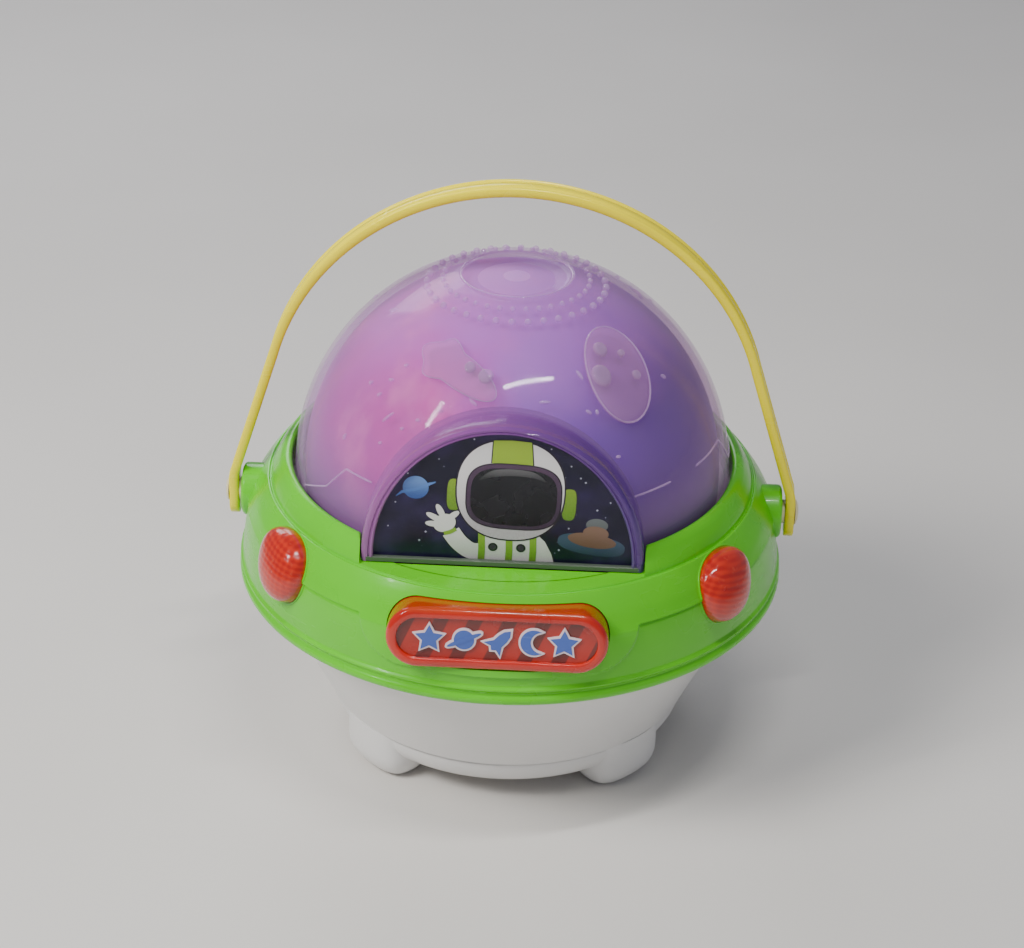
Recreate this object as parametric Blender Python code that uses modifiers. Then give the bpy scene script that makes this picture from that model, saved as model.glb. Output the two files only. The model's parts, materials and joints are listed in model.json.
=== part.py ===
"""A hand-carried toy flying saucer with a lit dome, side lamps, a push button and a swinging handle.

Sizes below are millimetres; the helpers turn them into metres. +Z is up, the front faces -Y, and the
origin is on the ground, under the middle of the saucer.
"""

import math

import bmesh
import bpy
from mathutils import Matrix, Vector

MM = 0.001
GAP = 0.3  # between pieces that touch on the real object

# Saucer ring
RING_STEPS = 44
RING_RADIUS = 127.8
COLLAR_INNER_RADIUS = 102.2
COLLAR_TOP = 142.4
COLLAR_BOTTOM = 130.0
CREASE_RADIUS = 112.0
CREASE_HEIGHT = 132.7
LEDGE_HEIGHT = 117.2
LIP_HEIGHT = 87.0
LIP_CENTRE_RADIUS = 125.2
LIP_BEAD_RADIUS = 2.6

# White base
BOWL_STEPS = 44
BOWL_FLANGE_RADIUS = 123.6
BOWL_FLANGE_TOP = 86.6
BOWL_WALL = 2.2
BOWL_TOP_RADIUS = 114.0
BOWL_STEP_RADIUS = 87.0
BOWL_STEP_HEIGHT = 25.0
BOWL_ROUNDING = 14.0
BOWL_BOTTOM = 9.5
FOOT_RADIUS = 19.0
FOOT_CIRCLE = 73.0
FOOT_AZIMUTH = 50.0
FOOT_ROUNDING = 9.0
FOOT_LIMIT_ROUNDING = 12.0

# Dome and window
DOME_STEPS = 36
DOME_RADIUS = 101.0
DOME_CENTRE = 135.0
DOME_WALL = 2.0
DOME_FLANGE_RADIUS = 107.0
DOME_FLANGE_TOP = 129.6
DOME_FLANGE_BOTTOM = 127.6
LINER_RADIUS = 97.2
LINER_WALL = 1.5
WINDOW_FRONT = -91.0
WINDOW_SILL = 135.5
WINDOW_FOOT = 133.1
SILL_BAR_HEIGHT = 2.3
ARCH_HALF_WIDTH = 61.0
ARCH_HEIGHT = 67.0
OPENING_HALF_WIDTH = 56.5
OPENING_HEIGHT = 62.6
DECK_TOP = 127.3
DECK_THICKNESS = 2.0

# Handle
PIVOT_HEIGHT = 116.0
ARCH_RADIUS = 114.4
ARCH_RISE = 43.0  # arch centre above the pivot
LEG_SPLAY = 15.7  # degrees from vertical
STRAP_WIDTH = 12.0
STRAP_THICKNESS = 4.5
STRAP_END_X = 130.55
STRAP_BELOW_PIVOT = 12.0
BOSS_RADIUS = 12.5
BOSS_END = 126.5
BOSS_LENGTH = 14.5
PIN_RADIUS = 3.0
CLIP_X = 110.6

# Front button
BUTTON_WIDTH = 96.0
BUTTON_HEIGHT = 28.0
BUTTON_DEPTH = 20.0
BUTTON_TILT = 8.3
BUTTON_CENTRE = (0.0, -126.0, 116.7)
BOARD_DEPTH = 28.8
BOARD_POST_X = 56.0

# Side lamps
LAMP_AZIMUTH = 53.5
LAMP_HEIGHT = 118.6
LAMP_RADIUS = 122.8
LAMP_TILT = 24.0
LAMP_HALF_WIDTH = 16.0
LAMP_HALF_HEIGHT = 15.5
LAMP_RISE = 8.0
LAMP_TAPER = 0.12  # how much wider the drop is at its top
LAMP_SLANT = 2.5  # how far its foot leans to the front

# Inside
CELL_RADIUS = 7.1
CELL_LENGTH = 49.5
CELL_PITCH = 16.0
CELL_HEIGHT = 20.5
BOX_HALF_LENGTH = 28.5
BOX_HALF_WIDTH = 25.4
BOX_TOP = 31.5
BOX_WALL = 1.6
DOOR_HALF_WIDTH = 26.5
DOOR_HALF_LENGTH = 30.0
DOOR_SCREW_Y = 35.0
SPEAKER_X = 50.0
SPEAKER_RADIUS = 18.0
SWITCH_X = -50.0
SWITCH_TRAVEL = 5.0
BODY_SCREW_CIRCLE = 118.2
BODY_SCREW_AZIMUTHS = (36.0, 144.0, 216.0, 324.0)
DOME_SCREW_CIRCLE = 104.6
DOME_SCREW_AZIMUTHS = (60.0, 180.0, 300.0)

GREEN = ("green_plastic", (0.17, 0.62, 0.02), 0.28, 0.0)
WHITE = ("white_plastic", (0.72, 0.72, 0.70), 0.35, 0.0)
YELLOW = ("yellow_plastic", (0.93, 0.80, 0.02), 0.3, 0.0)
PURPLE = ("clear_purple", (0.45, 0.22, 0.60), 0.12, 0.0)
PINK = ("milky_pink", (0.62, 0.22, 0.55), 0.5, 0.0)
RED = ("clear_red", (0.80, 0.06, 0.02), 0.15, 0.0)
DARK_RED = ("dark_red_plastic", (0.25, 0.02, 0.01), 0.4, 0.0)
CREAM = ("cream_plastic", (0.80, 0.72, 0.45), 0.35, 0.0)
CLEAR = ("clear_lens", (0.8, 0.8, 0.85), 0.08, 0.0)
PRINT = ("printed_card", (0.01, 0.012, 0.03), 0.4, 0.0)
BLUE = ("blue_print", (0.06, 0.12, 0.45), 0.3, 0.0)
BOARD = ("circuit_board", (0.02, 0.20, 0.08), 0.5, 0.0)
STEEL = ("steel", (0.60, 0.60, 0.62), 0.3, 1.0)
BLACK = ("black_plastic", (0.02, 0.02, 0.02), 0.5, 0.0)
CELL = ("cell_sleeve", (0.04, 0.05, 0.06), 0.4, 0.0)
RUBBER = ("rubber", (0.05, 0.05, 0.05), 0.8, 0.0)


def clear_scene():
    for obj in list(bpy.data.objects):
        bpy.data.objects.remove(obj, do_unlink=True)
    parts = bpy.data.collections.new("toy_flying_saucer")
    cutters = bpy.data.collections.new("cutters")
    for collection in (parts, cutters):
        bpy.context.scene.collection.children.link(collection)
    return parts, cutters


PARTS, CUTTERS = clear_scene()


def material(spec):
    name, colour, roughness, metallic = spec
    found = bpy.data.materials.get(name)
    if found:
        return found
    made = bpy.data.materials.new(name)
    made.use_nodes = True
    shader = made.node_tree.nodes["Principled BSDF"]
    shader.inputs["Base Color"].default_value = (*colour, 1.0)
    shader.inputs["Roughness"].default_value = roughness
    shader.inputs["Metallic"].default_value = metallic
    return made


def add(name, mesh, spec=None):
    """A new object: a part with its material, or a hidden cutter without one."""
    obj = bpy.data.objects.new(name, mesh)
    (PARTS if spec else CUTTERS).objects.link(obj)
    if spec:
        mesh.materials.append(material(spec))
    else:
        obj.hide_render = True
        obj.display_type = "WIRE"
    return obj


def smooth(obj, angle=35.0):
    obj.data.shade_smooth()
    obj.data.set_sharp_from_angle(angle=math.radians(angle))


def mesh_from(fill):
    """A mesh that the given function fills through a bmesh."""
    bm = bmesh.new()
    fill(bm)
    mesh = bpy.data.meshes.new("shape")
    bm.to_mesh(mesh)
    bm.free()
    return mesh


def turned(name, profile, spec=None, steps=24):
    """A turned shape. The profile is (radius, height) points down the outer side; off the axis it closes."""
    closed = profile[0][0] > 0
    points = [(r * MM, 0.0, z * MM) for r, z in profile]
    edges = [(i, i + 1) for i in range(len(points) - 1)]
    if closed:
        edges.append((len(points) - 1, 0))
    mesh = bpy.data.meshes.new(name)
    mesh.from_pydata(points, edges, [])
    obj = add(name, mesh, spec)
    screw = obj.modifiers.new("Turn", "SCREW")
    screw.steps = screw.render_steps = steps
    screw.use_merge_vertices = True
    screw.merge_threshold = 1e-6
    screw.use_smooth_shade = True
    return obj


def block(name, size, centre, spec=None, bevel=0.0):
    def fill(bm):
        bmesh.ops.create_cube(bm, size=1.0)
        bmesh.ops.scale(bm, vec=[s * MM for s in size], verts=bm.verts)

    obj = add(name, mesh_from(fill), spec)
    obj.location = [c * MM for c in centre]
    if bevel:
        rounded = obj.modifiers.new("Round", "BEVEL")
        rounded.width = bevel * MM
        rounded.segments = 2
    return obj


def rod(name, radius, length, centre, spec=None, axis="Z", sides=20):
    """A cylinder, its middle at centre, along a named axis."""

    def fill(bm):
        bmesh.ops.create_cone(
            bm, cap_ends=True, segments=sides, radius1=radius * MM, radius2=radius * MM, depth=length * MM
        )

    obj = add(name, mesh_from(fill), spec)
    obj.location = [c * MM for c in centre]
    if axis == "X":
        obj.rotation_euler = (0.0, math.pi / 2, 0.0)
    elif axis == "Y":
        obj.rotation_euler = (math.pi / 2, 0.0, 0.0)
    if spec:
        smooth(obj)
    return obj


def plate(name, outline, thickness, spec=None, bevel=0.0):
    """A flat outline in X and Z, given a thickness along Y and centred on y = 0, as a welded mesh."""
    curve = bpy.data.curves.new(name, "CURVE")
    curve.dimensions = "2D"
    curve.fill_mode = "BOTH"
    curve.extrude = thickness * MM / 2
    spline = curve.splines.new("POLY")
    spline.points.add(len(outline) - 1)
    for point, (x, z) in zip(spline.points, outline):
        point.co = (x * MM, z * MM, 0.0, 1.0)
    spline.use_cyclic_u = True
    flat = bpy.data.objects.new("flat_outline", curve)
    CUTTERS.objects.link(flat)
    flat.rotation_euler = (math.pi / 2, 0.0, 0.0)
    mesh = welded_mesh(flat)
    obj = add(name, mesh, spec)
    if bevel:
        rounded = obj.modifiers.new("Round", "BEVEL")
        rounded.width = bevel * MM
        rounded.segments = 2
        rounded.limit_method = "ANGLE"
    return obj


def welded_mesh(curve_object):
    """The curve's mesh with its caps welded and its turn applied; the curve is removed."""
    bpy.context.view_layer.update()
    graph = bpy.context.evaluated_depsgraph_get()
    mesh = bpy.data.meshes.new_from_object(curve_object.evaluated_get(graph))
    bm = bmesh.new()
    bm.from_mesh(mesh)
    bmesh.ops.remove_doubles(bm, verts=bm.verts, dist=1e-6)
    bmesh.ops.transform(bm, matrix=curve_object.matrix_world, verts=bm.verts)
    bmesh.ops.recalc_face_normals(bm, faces=bm.faces)
    bm.to_mesh(mesh)
    bm.free()
    mesh.materials.clear()
    bpy.data.objects.remove(curve_object, do_unlink=True)
    return mesh


def combine(obj, operation, *others):
    for other in others:
        step = obj.modifiers.new(f"{operation.lower()}_{other.name}"[:60], "BOOLEAN")
        step.operation = operation
        step.object = other
        step.solver = "EXACT"
    return obj


def cut(obj, *cutters):
    return combine(obj, "DIFFERENCE", *cutters)


def join(obj, *pieces):
    return combine(obj, "UNION", *pieces)


def around(radius, azimuth):
    """X and Y at this radius; azimuth 0 is the front, and it grows towards +X."""
    angle = math.radians(azimuth)
    return radius * math.sin(angle), -radius * math.cos(angle)


def arc(centre, radius, start, end, count):
    """Points of an arc in (radius, height), angles in degrees from the outward direction."""
    steps = [math.radians(start + (end - start) * i / (count - 1)) for i in range(count)]
    return [(centre[0] + radius * math.cos(a), centre[1] + radius * math.sin(a)) for a in steps]


def stadium(width, height, count=9):
    """A slot-shaped outline: straight sides and round ends."""
    r = height / 2
    side = width / 2 - r
    right = [(side + x, z) for x, z in arc((0, 0), r, -90, 90, count)]
    left = [(-side + x, z) for x, z in arc((0, 0), r, 90, 270, count)]
    return right + left


def arch(half_width, height, sill, foot, count=21):
    """A half ellipse standing on short upright sides."""
    top = [(half_width * x, sill + height * z) for x, z in arc((0, 0), 1.0, 0, 180, count)]
    return [(half_width, foot)] + top + [(-half_width, foot)]


# ---------------------------------------------------------------- saucer ring


def ring_outside():
    """The ring's outer side, from the rim down to the foot of the lip."""
    collar = [(103.0, 142.0), (104.6, COLLAR_TOP), (107.4, 140.4), (109.9, 137.0), (111.4, 134.4)]
    flank = [
        (CREASE_RADIUS, CREASE_HEIGHT),
        (113.8, 132.2),
        (116.9, 128.4),
        (120.1, 123.6),
        (122.9, 118.0),
        (124.0, LEDGE_HEIGHT),
        (125.8, 109.0),
        (127.2, 100.0),
        (RING_RADIUS, 92.8),
        (126.4, 91.0),
    ]
    bead = arc((LIP_CENTRE_RADIUS, LIP_HEIGHT), LIP_BEAD_RADIUS, 58, -84, 6)
    return collar + flank + bead


def ring_inside():
    """The ring's inner side, from the foot of the lip up to the rim."""
    return [
        (124.5, 84.6),
        (124.3, 99.0),
        (122.4, 110.0),
        (120.2, 117.0),
        (117.0, 122.4),
        (111.0, COLLAR_BOTTOM),
        (COLLAR_INNER_RADIUS, COLLAR_BOTTOM),
        (COLLAR_INNER_RADIUS, 141.0),
    ]


def button_frame():
    """The button's own axes: X across, Z up its face, and Y inwards from the face."""
    turn = Matrix.Rotation(math.radians(-BUTTON_TILT), 4, "X")
    return Matrix.Translation(Vector(BUTTON_CENTRE) * MM) @ turn


def button_place(obj, depth, x=0.0, z=0.0):
    """Puts an object made about the origin at a depth behind the button's face."""
    obj.matrix_world = button_frame() @ Matrix.Translation(Vector((x, depth, z)) * MM) @ obj.matrix_basis
    return obj


def lamp_frame(side):
    """A lamp's own axes: Z outwards from the flank, Y up it. side is 1 on the right and -1 on the left."""
    x, y = around(LAMP_RADIUS, side * LAMP_AZIMUTH)
    outward = Vector((x, y, 0.0)).normalized()
    normal = (outward + Vector((0, 0, math.tan(math.radians(LAMP_TILT))))).normalized()
    across = Vector((0, 0, 1)).cross(normal).normalized()
    up = normal.cross(across)
    rows = [[across[i], up[i], normal[i], v] for i, v in enumerate((x * MM, y * MM, LAMP_HEIGHT * MM))]
    return Matrix(rows + [[0, 0, 0, 1]])


def lamp_piece(name, side, profile, spec=None, grow=0.0, steps=20):
    """A turned profile stretched to the lamp's drop outline. Its radii are shares of the outline."""
    obj = turned(name, profile, spec, steps)
    bpy.context.view_layer.update()
    graph = bpy.context.evaluated_depsgraph_get()
    mesh = bpy.data.meshes.new_from_object(obj.evaluated_get(graph))
    for vertex in mesh.vertices:
        x, y, z = vertex.co / MM
        across = (LAMP_HALF_WIDTH + grow) * x * (1.0 + LAMP_TAPER * y) + side * LAMP_SLANT * y
        vertex.co = Vector((across, (LAMP_HALF_HEIGHT + grow) * y, z)) * MM
    obj.modifiers.clear()
    obj.data = mesh
    obj.matrix_world = lamp_frame(side)
    return obj


def saucer_ring():
    ring = turned("saucer_ring", ring_outside() + ring_inside(), GREEN, RING_STEPS)

    shelf = block("ring_shelf", (100.0, 12.6, 2.4), (0.0, -97.9, 131.4))
    notch = block("ring_notch", (124.6, 60.0, 40.0), (0.0, -100.0, 132.7 + 20.0))
    bosses = []
    holes = []
    for side in (-1, 1):
        boss_middle = (side * (BOSS_END - BOSS_LENGTH / 2), 0, PIVOT_HEIGHT)
        bosses.append(rod(f"boss_{side}", BOSS_RADIUS, BOSS_LENGTH, boss_middle, axis="X", sides=24))
        holes.append(rod(f"boss_hole_{side}", PIN_RADIUS + GAP, 30, boss_middle, axis="X", sides=16))
        post = rod(f"board_post_{side}", 3.0, 10.5, (0, 0, 0), axis="Y", sides=12)
        bosses.append(button_place(post, BOARD_DEPTH - GAP - 5.25, side * BOARD_POST_X, -2.0))
        peg = rod(f"board_peg_{side}", 1.2, 4.0, (0, 0, 0), axis="Y", sides=8)
        bosses.append(button_place(peg, BOARD_DEPTH + 0.7, side * BOARD_POST_X, -2.0))
    for azimuth in BODY_SCREW_AZIMUTHS:
        x, y = around(BODY_SCREW_CIRCLE, azimuth)
        bosses.append(rod(f"screw_post_{azimuth:.0f}", 3.6, 31.6, (x, y, 87.0 + 15.8), sides=12))
        holes.append(rod(f"screw_hole_{azimuth:.0f}", 1.7, 20.0, (x, y, 94.0), sides=10))
    for azimuth in DOME_SCREW_AZIMUTHS:
        x, y = around(DOME_SCREW_CIRCLE, azimuth)
        holes.append(rod(f"dome_hole_{azimuth:.0f}", 1.5, 20.0, (x, y, 128.0), sides=10))
    join(ring, shelf, *bosses)

    opening = plate("button_opening", stadium(BUTTON_WIDTH + 0.8, BUTTON_HEIGHT + 0.8, 13), 60.0)
    holes.append(button_place(opening, 0.0))
    for side in (-1, 1):
        bore = [(1, 14), (1, -14)]
        holes.append(lamp_piece(f"lamp_opening_{side}", side, [(0, 14)] + bore + [(0, -14)], grow=0.4))
    cut(ring, notch, *holes)
    return ring


# ---------------------------------------------------------------- white base


def bowl_profile():
    """From the middle of the floor out, up the inner wall, over the flange and back down the outside."""
    floor = BOWL_BOTTOM + BOWL_WALL
    corner = (BOWL_STEP_RADIUS - 1.5 - BOWL_ROUNDING, BOWL_BOTTOM + BOWL_ROUNDING)
    inner_corner = arc(corner, BOWL_ROUNDING - BOWL_WALL, -90, -6, 5)
    outer_corner = arc(corner, BOWL_ROUNDING, 0, -90, 6)
    inner = [(0, floor)] + inner_corner + [(BOWL_TOP_RADIUS - BOWL_WALL, BOWL_FLANGE_TOP)]
    flange = [(BOWL_FLANGE_RADIUS, BOWL_FLANGE_TOP), (BOWL_FLANGE_RADIUS, 84.6), (BOWL_TOP_RADIUS, 84.6)]
    outer = [(BOWL_STEP_RADIUS, BOWL_STEP_HEIGHT)] + outer_corner
    return inner + flange + outer + [(0, BOWL_BOTTOM)]


def foot(index, azimuth, inset=0.0, steps=24):
    """A round foot, or with an inset its hollow, kept within the base's own outline by a turned limit."""
    radius = FOOT_RADIUS - inset
    top = 23.6 + 4.0 * inset
    edge = arc((radius - FOOT_ROUNDING, FOOT_ROUNDING + inset), FOOT_ROUNDING, 0, -90, 5)
    name = "foot_hollow" if inset else "foot"
    solid = turned(f"{name}_{index}", [(0, top), (radius, top)] + edge + [(0, inset)], steps=steps)
    x, y = around(FOOT_CIRCLE, azimuth)
    solid.location = (x * MM, y * MM, 0.0)
    return combine(solid, "INTERSECT", bpy.data.objects["hollow_limit" if inset else "foot_limit"])


def foot_limit(name, radius, top):
    """The largest outline that a foot may fill."""
    edge = arc((radius - FOOT_LIMIT_ROUNDING, FOOT_LIMIT_ROUNDING - 1.0), FOOT_LIMIT_ROUNDING, 0, -90, 5)
    turned(name, [(0, top), (radius, top)] + edge + [(0, -1.0)], steps=BOWL_STEPS)


def base_bowl():
    bowl = turned("base_bowl", bowl_profile(), WHITE, BOWL_STEPS)
    foot_limit("foot_limit", BOWL_STEP_RADIUS - 0.5, 23.0)
    foot_limit("hollow_limit", BOWL_STEP_RADIUS - 0.5 - BOWL_WALL, 40.0)

    azimuths = (FOOT_AZIMUTH, 180 - FOOT_AZIMUTH, 180 + FOOT_AZIMUTH, 360 - FOOT_AZIMUTH)
    feet = [foot(i, azimuth) for i, azimuth in enumerate(azimuths)]
    stakes = []
    for side in (-1, 1):
        stakes.append(rod(f"stake_{side}", 1.5, 6.0, (SPEAKER_X, side * 21.5, 13.5), sides=8))
    join(bowl, *feet, *stakes)

    hollows = [foot(i, azimuth, BOWL_WALL, 16) for i, azimuth in enumerate(azimuths)]
    door = block("door_opening", (2 * DOOR_HALF_WIDTH + 0.8, 2 * DOOR_HALF_LENGTH + 0.8, 8), (0, 0, 10.6))
    tab = block("door_tab_opening", (14.8, 12.0, 8), (0, DOOR_HALF_LENGTH + 5.0, 10.6))
    slot = block("switch_slot", (5.0, SWITCH_TRAVEL + 6.0, 8), (SWITCH_X, SWITCH_TRAVEL / 2, 10.6))
    grille = [rod("grille_0", 2.0, 8, (SPEAKER_X, 0, 10.6), sides=8)]
    for i in range(6):
        angle = math.radians(60 * i)
        spot = (SPEAKER_X + 8 * math.cos(angle), 8 * math.sin(angle), 10.6)
        grille.append(rod(f"grille_{i + 1}", 2.0, 8, spot, sides=8))
    screws = []
    for azimuth in BODY_SCREW_AZIMUTHS:
        x, y = around(BODY_SCREW_CIRCLE, azimuth)
        screws.append(rod(f"flange_hole_{azimuth:.0f}", 1.8, 10.0, (x, y, 85.6), sides=10))
    cut(bowl, *hollows, door, tab, slot, *grille, *screws)
    return bowl


# ---------------------------------------------------------------- dome


def ball(radius, foot_height, count=12):
    """A dome's outline from its pole down, and straight down to its foot."""
    return arc((0, DOME_CENTRE), radius, 90, 0, count) + [(radius, foot_height)]


def dome_shell():
    outer = [(0, DOME_CENTRE + DOME_RADIUS)] + ball(DOME_RADIUS, DOME_FLANGE_TOP)[1:]
    foot_ring = [(DOME_FLANGE_RADIUS, DOME_FLANGE_TOP), (DOME_FLANGE_RADIUS, DOME_FLANGE_BOTTOM)]
    dome = turned("dome_shell", outer + foot_ring + [(0, DOME_FLANGE_BOTTOM)], PURPLE, DOME_STEPS)

    dormer = plate("dormer", arch(ARCH_HALF_WIDTH, ARCH_HEIGHT, WINDOW_SILL, WINDOW_FOOT), 31.0)
    dormer.location.y = (WINDOW_FRONT + 15.5) * MM
    inner_radius = DOME_RADIUS - DOME_WALL
    inside = [(0, DOME_CENTRE + inner_radius)] + ball(inner_radius, 120.0)[1:]
    hollow = turned("dome_hollow", inside + [(0, 120.0)], steps=DOME_STEPS)
    half_width = ARCH_HALF_WIDTH - DOME_WALL
    tunnel = plate("dormer_hollow", arch(half_width, ARCH_HEIGHT - DOME_WALL, WINDOW_SILL, 135.1), 34.0)
    tunnel.location.y = (WINDOW_FRONT + DOME_WALL + 17.0) * MM
    view = plate("window_opening", arch(OPENING_HALF_WIDTH, OPENING_HEIGHT, WINDOW_SILL, 135.3), 20.0)
    view.location.y = WINDOW_FRONT * MM
    front = block("dome_front_cut", (260, 60, 200), (0, WINDOW_FRONT - 30.0, 160.0))
    holes = []
    for azimuth in DOME_SCREW_AZIMUTHS:
        x, y = around(DOME_SCREW_CIRCLE, azimuth)
        holes.append(rod(f"flange_dome_hole_{azimuth:.0f}", 1.5, 6.0, (x, y, 128.6), sides=10))
    bar_middle = (0, WINDOW_FRONT + DOME_WALL / 2, WINDOW_FOOT + SILL_BAR_HEIGHT / 2)
    sill_bar = block("window_sill_bar", (2 * half_width, DOME_WALL, SILL_BAR_HEIGHT), bar_middle)
    join(dome, dormer)
    cut(dome, hollow, tunnel, front, view, *holes)
    join(dome, sill_bar)


def dome_liner():
    """The milky inner dome that spreads the light, open at the front behind the picture."""
    outer = [(0, DOME_CENTRE + LINER_RADIUS)] + ball(LINER_RADIUS, DECK_TOP + GAP, 9)[1:]
    inner = [(x, z) for x, z in reversed(ball(LINER_RADIUS - LINER_WALL, DECK_TOP + GAP, 9))]
    inner[-1] = (0, DOME_CENTRE + LINER_RADIUS - LINER_WALL)
    liner = turned("dome_liner", outer + inner, PINK, 28)
    cut(liner, block("liner_front_cut", (240, 60, 200), (0, WINDOW_FRONT + 4.5 - 30.0, 170.0)))


def window():
    lens_outline = arch(OPENING_HALF_WIDTH - GAP, OPENING_HEIGHT - GAP, WINDOW_SILL, 135.8)
    lens = plate("window_lens", lens_outline, 1.2, CLEAR)
    lens.location.y = (WINDOW_FRONT + 1.0) * MM
    card = plate("picture_card", arch(58.4, 64.4, WINDOW_SILL, 135.6), 0.6, PRINT)
    card.location.y = (WINDOW_FRONT + DOME_WALL + 0.7) * MM


def deck():
    """The plate that closes the dome's chamber and carries the lights."""
    thin = [
        (0, DECK_TOP),
        (DOME_FLANGE_RADIUS, DECK_TOP),
        (DOME_FLANGE_RADIUS, DECK_TOP - DECK_THICKNESS),
        (0, DECK_TOP - DECK_THICKNESS),
    ]
    disc = turned("reflector_deck", thin, WHITE, 36)
    holes = [block("deck_front_cut", (260, 60, 30), (0, -88.0 - 30.0, 126.0))]
    for azimuth in DOME_SCREW_AZIMUTHS:
        x, y = around(DOME_SCREW_CIRCLE, azimuth)
        holes.append(rod(f"deck_hole_{azimuth:.0f}", 1.5, 6.0, (x, y, 126.3), sides=10))
    cut(disc, *holes)

    rod("dome_light_board", 18.0, 1.6, (0, 0, DECK_TOP + GAP + 0.8), BOARD)
    for i in range(3):
        x, y = around(10.0, 120.0 * i)
        light(f"dome_led_{i + 1}", (x, y, DECK_TOP + 2 * GAP + 1.6), CLEAR)


def light(name, foot_point, spec):
    """A round-nosed light standing up from a board."""
    nose = arc((0, 5.2), 2.4, 90, 0, 4)
    profile = [(0, 7.6)] + nose[1:] + [(2.4, 1.0), (2.9, 1.0), (2.9, 0.0), (0, 0)]
    obj = turned(name, profile, spec, 12)
    obj.location = [c * MM for c in foot_point]
    return obj


# ---------------------------------------------------------------- front button


def front_button():
    cap = plate("front_button", stadium(BUTTON_WIDTH, BUTTON_HEIGHT, 13), BUTTON_DEPTH, RED)
    button_place(cap, BUTTON_DEPTH / 2)
    for side in (-1, 1):
        tab = block(f"button_tab_{side}", (6.0, 2.0, 12.0), (0, 0, 0))
        join(cap, button_place(tab, BUTTON_DEPTH - 1.0, side * 48.3, -4.0))
    window_recess = plate("button_recess", stadium(87.0, 19.6), 2.4)
    hollow = plate("button_hollow", stadium(BUTTON_WIDTH - 4.4, BUTTON_HEIGHT - 4.4), 40.0)
    cut(cap, button_place(window_recess, 0.0), button_place(hollow, 23.2))
    post = rod("button_post", 4.0, 22.0, (0, 0, 0), axis="Y", sides=12)
    join(cap, button_place(post, 2.2 + 11.0))

    stripes = plate("button_stripe_plate", stadium(90.0, 22.0), 1.2, DARK_RED)
    button_place(stripes, 4.2)
    hole = rod("stripe_hole", 4.4, 8.0, (0, 0, 0), axis="Y", sides=12)
    cut(stripes, button_place(hole, 4.2))

    emblem = plate("button_emblem", stadium(66.0, 13.6), 0.8, BLUE)
    button_place(emblem, 0.5)

    pad = rod("button_contact_pad", 3.6, 1.6, (0, 0, 0), RUBBER, axis="Y", sides=16)
    button_place(pad, 24.2 + GAP + 0.8)

    board = block("button_board", (120.0, 1.6, 20.0), (0, 0, 0), BOARD)
    button_place(board, BOARD_DEPTH + 0.8, 0.0, -2.0)
    holes = []
    for side in (-1, 1):
        hole = rod(f"board_hole_{side}", 1.5, 8.0, (0, 0, 0), axis="Y", sides=10)
        holes.append(button_place(hole, BOARD_DEPTH, side * BOARD_POST_X, -2.0))
    cut(board, *holes)

    for name, side in (("left", -1), ("right", 1)):
        spring = coil(f"button_spring_{name}", 3.4, 0.45, BOARD_DEPTH - 5.3 - 0.9, 4, 7)
        button_place(spring, 5.3, side * 34.0, 0.0)
        led = light(f"button_led_{name}", (0, 0, 0), CLEAR)
        led.rotation_euler = (math.pi / 2, 0, 0)
        bpy.context.view_layer.update()
        button_place(led, BOARD_DEPTH - GAP, side * 17.0, 0.0)


def coil(name, radius, wire, length, turns, per_turn=9):
    """A spring along +Y from the origin: its wire's middle runs on a helix."""
    curve = bpy.data.curves.new(name, "CURVE")
    curve.dimensions = "3D"
    curve.bevel_depth = wire * MM
    curve.bevel_resolution = 1
    curve.use_fill_caps = True
    spline = curve.splines.new("POLY")
    count = turns * per_turn + 1
    spline.points.add(count - 1)
    for i, point in enumerate(spline.points):
        angle = 2 * math.pi * i / per_turn
        reach = wire + (length - 2 * wire) * i / (count - 1)
        spot = (radius * math.cos(angle), reach, radius * math.sin(angle))
        point.co = (*[c * MM for c in spot], 1.0)
    wire_object = bpy.data.objects.new("coil_wire", curve)
    CUTTERS.objects.link(wire_object)
    return add(name, welded_mesh(wire_object), STEEL)


# ---------------------------------------------------------------- side lamps


def side_lamps():
    dome = [(0, 1.0), (0.3, 0.96), (0.58, 0.82), (0.8, 0.6), (0.94, 0.3), (1.0, 0.0)]
    outside = [(share, LAMP_RISE * rise) for share, rise in dome] + [(1.0, -5.0)]
    inside = [(0.86, -5.0), (0.84, 0.0), (0.62, 3.6), (0.3, 5.6), (0, 6.0)]
    bowl_outside = [(0.92, -5.4), (0.86, -8.0), (0.66, -11.0), (0.26, -12.6)]
    bowl_inside = [(0.24, -11.4), (0.6, -9.8), (0.78, -7.4), (0.84, -5.4)]
    for name, side in (("left", -1), ("right", 1)):
        lamp_piece(f"side_lamp_lens_{name}", side, outside + inside, RED)
        lamp_piece(f"side_lamp_reflector_{name}", side, bowl_outside + bowl_inside, STEEL)
        led = light(f"side_lamp_led_{name}", (0, 0, 0), CLEAR)
        led.matrix_world = lamp_frame(side) @ Matrix.Translation(Vector((0, 0, -16.0)) * MM)


# ---------------------------------------------------------------- handle and pivots


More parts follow.
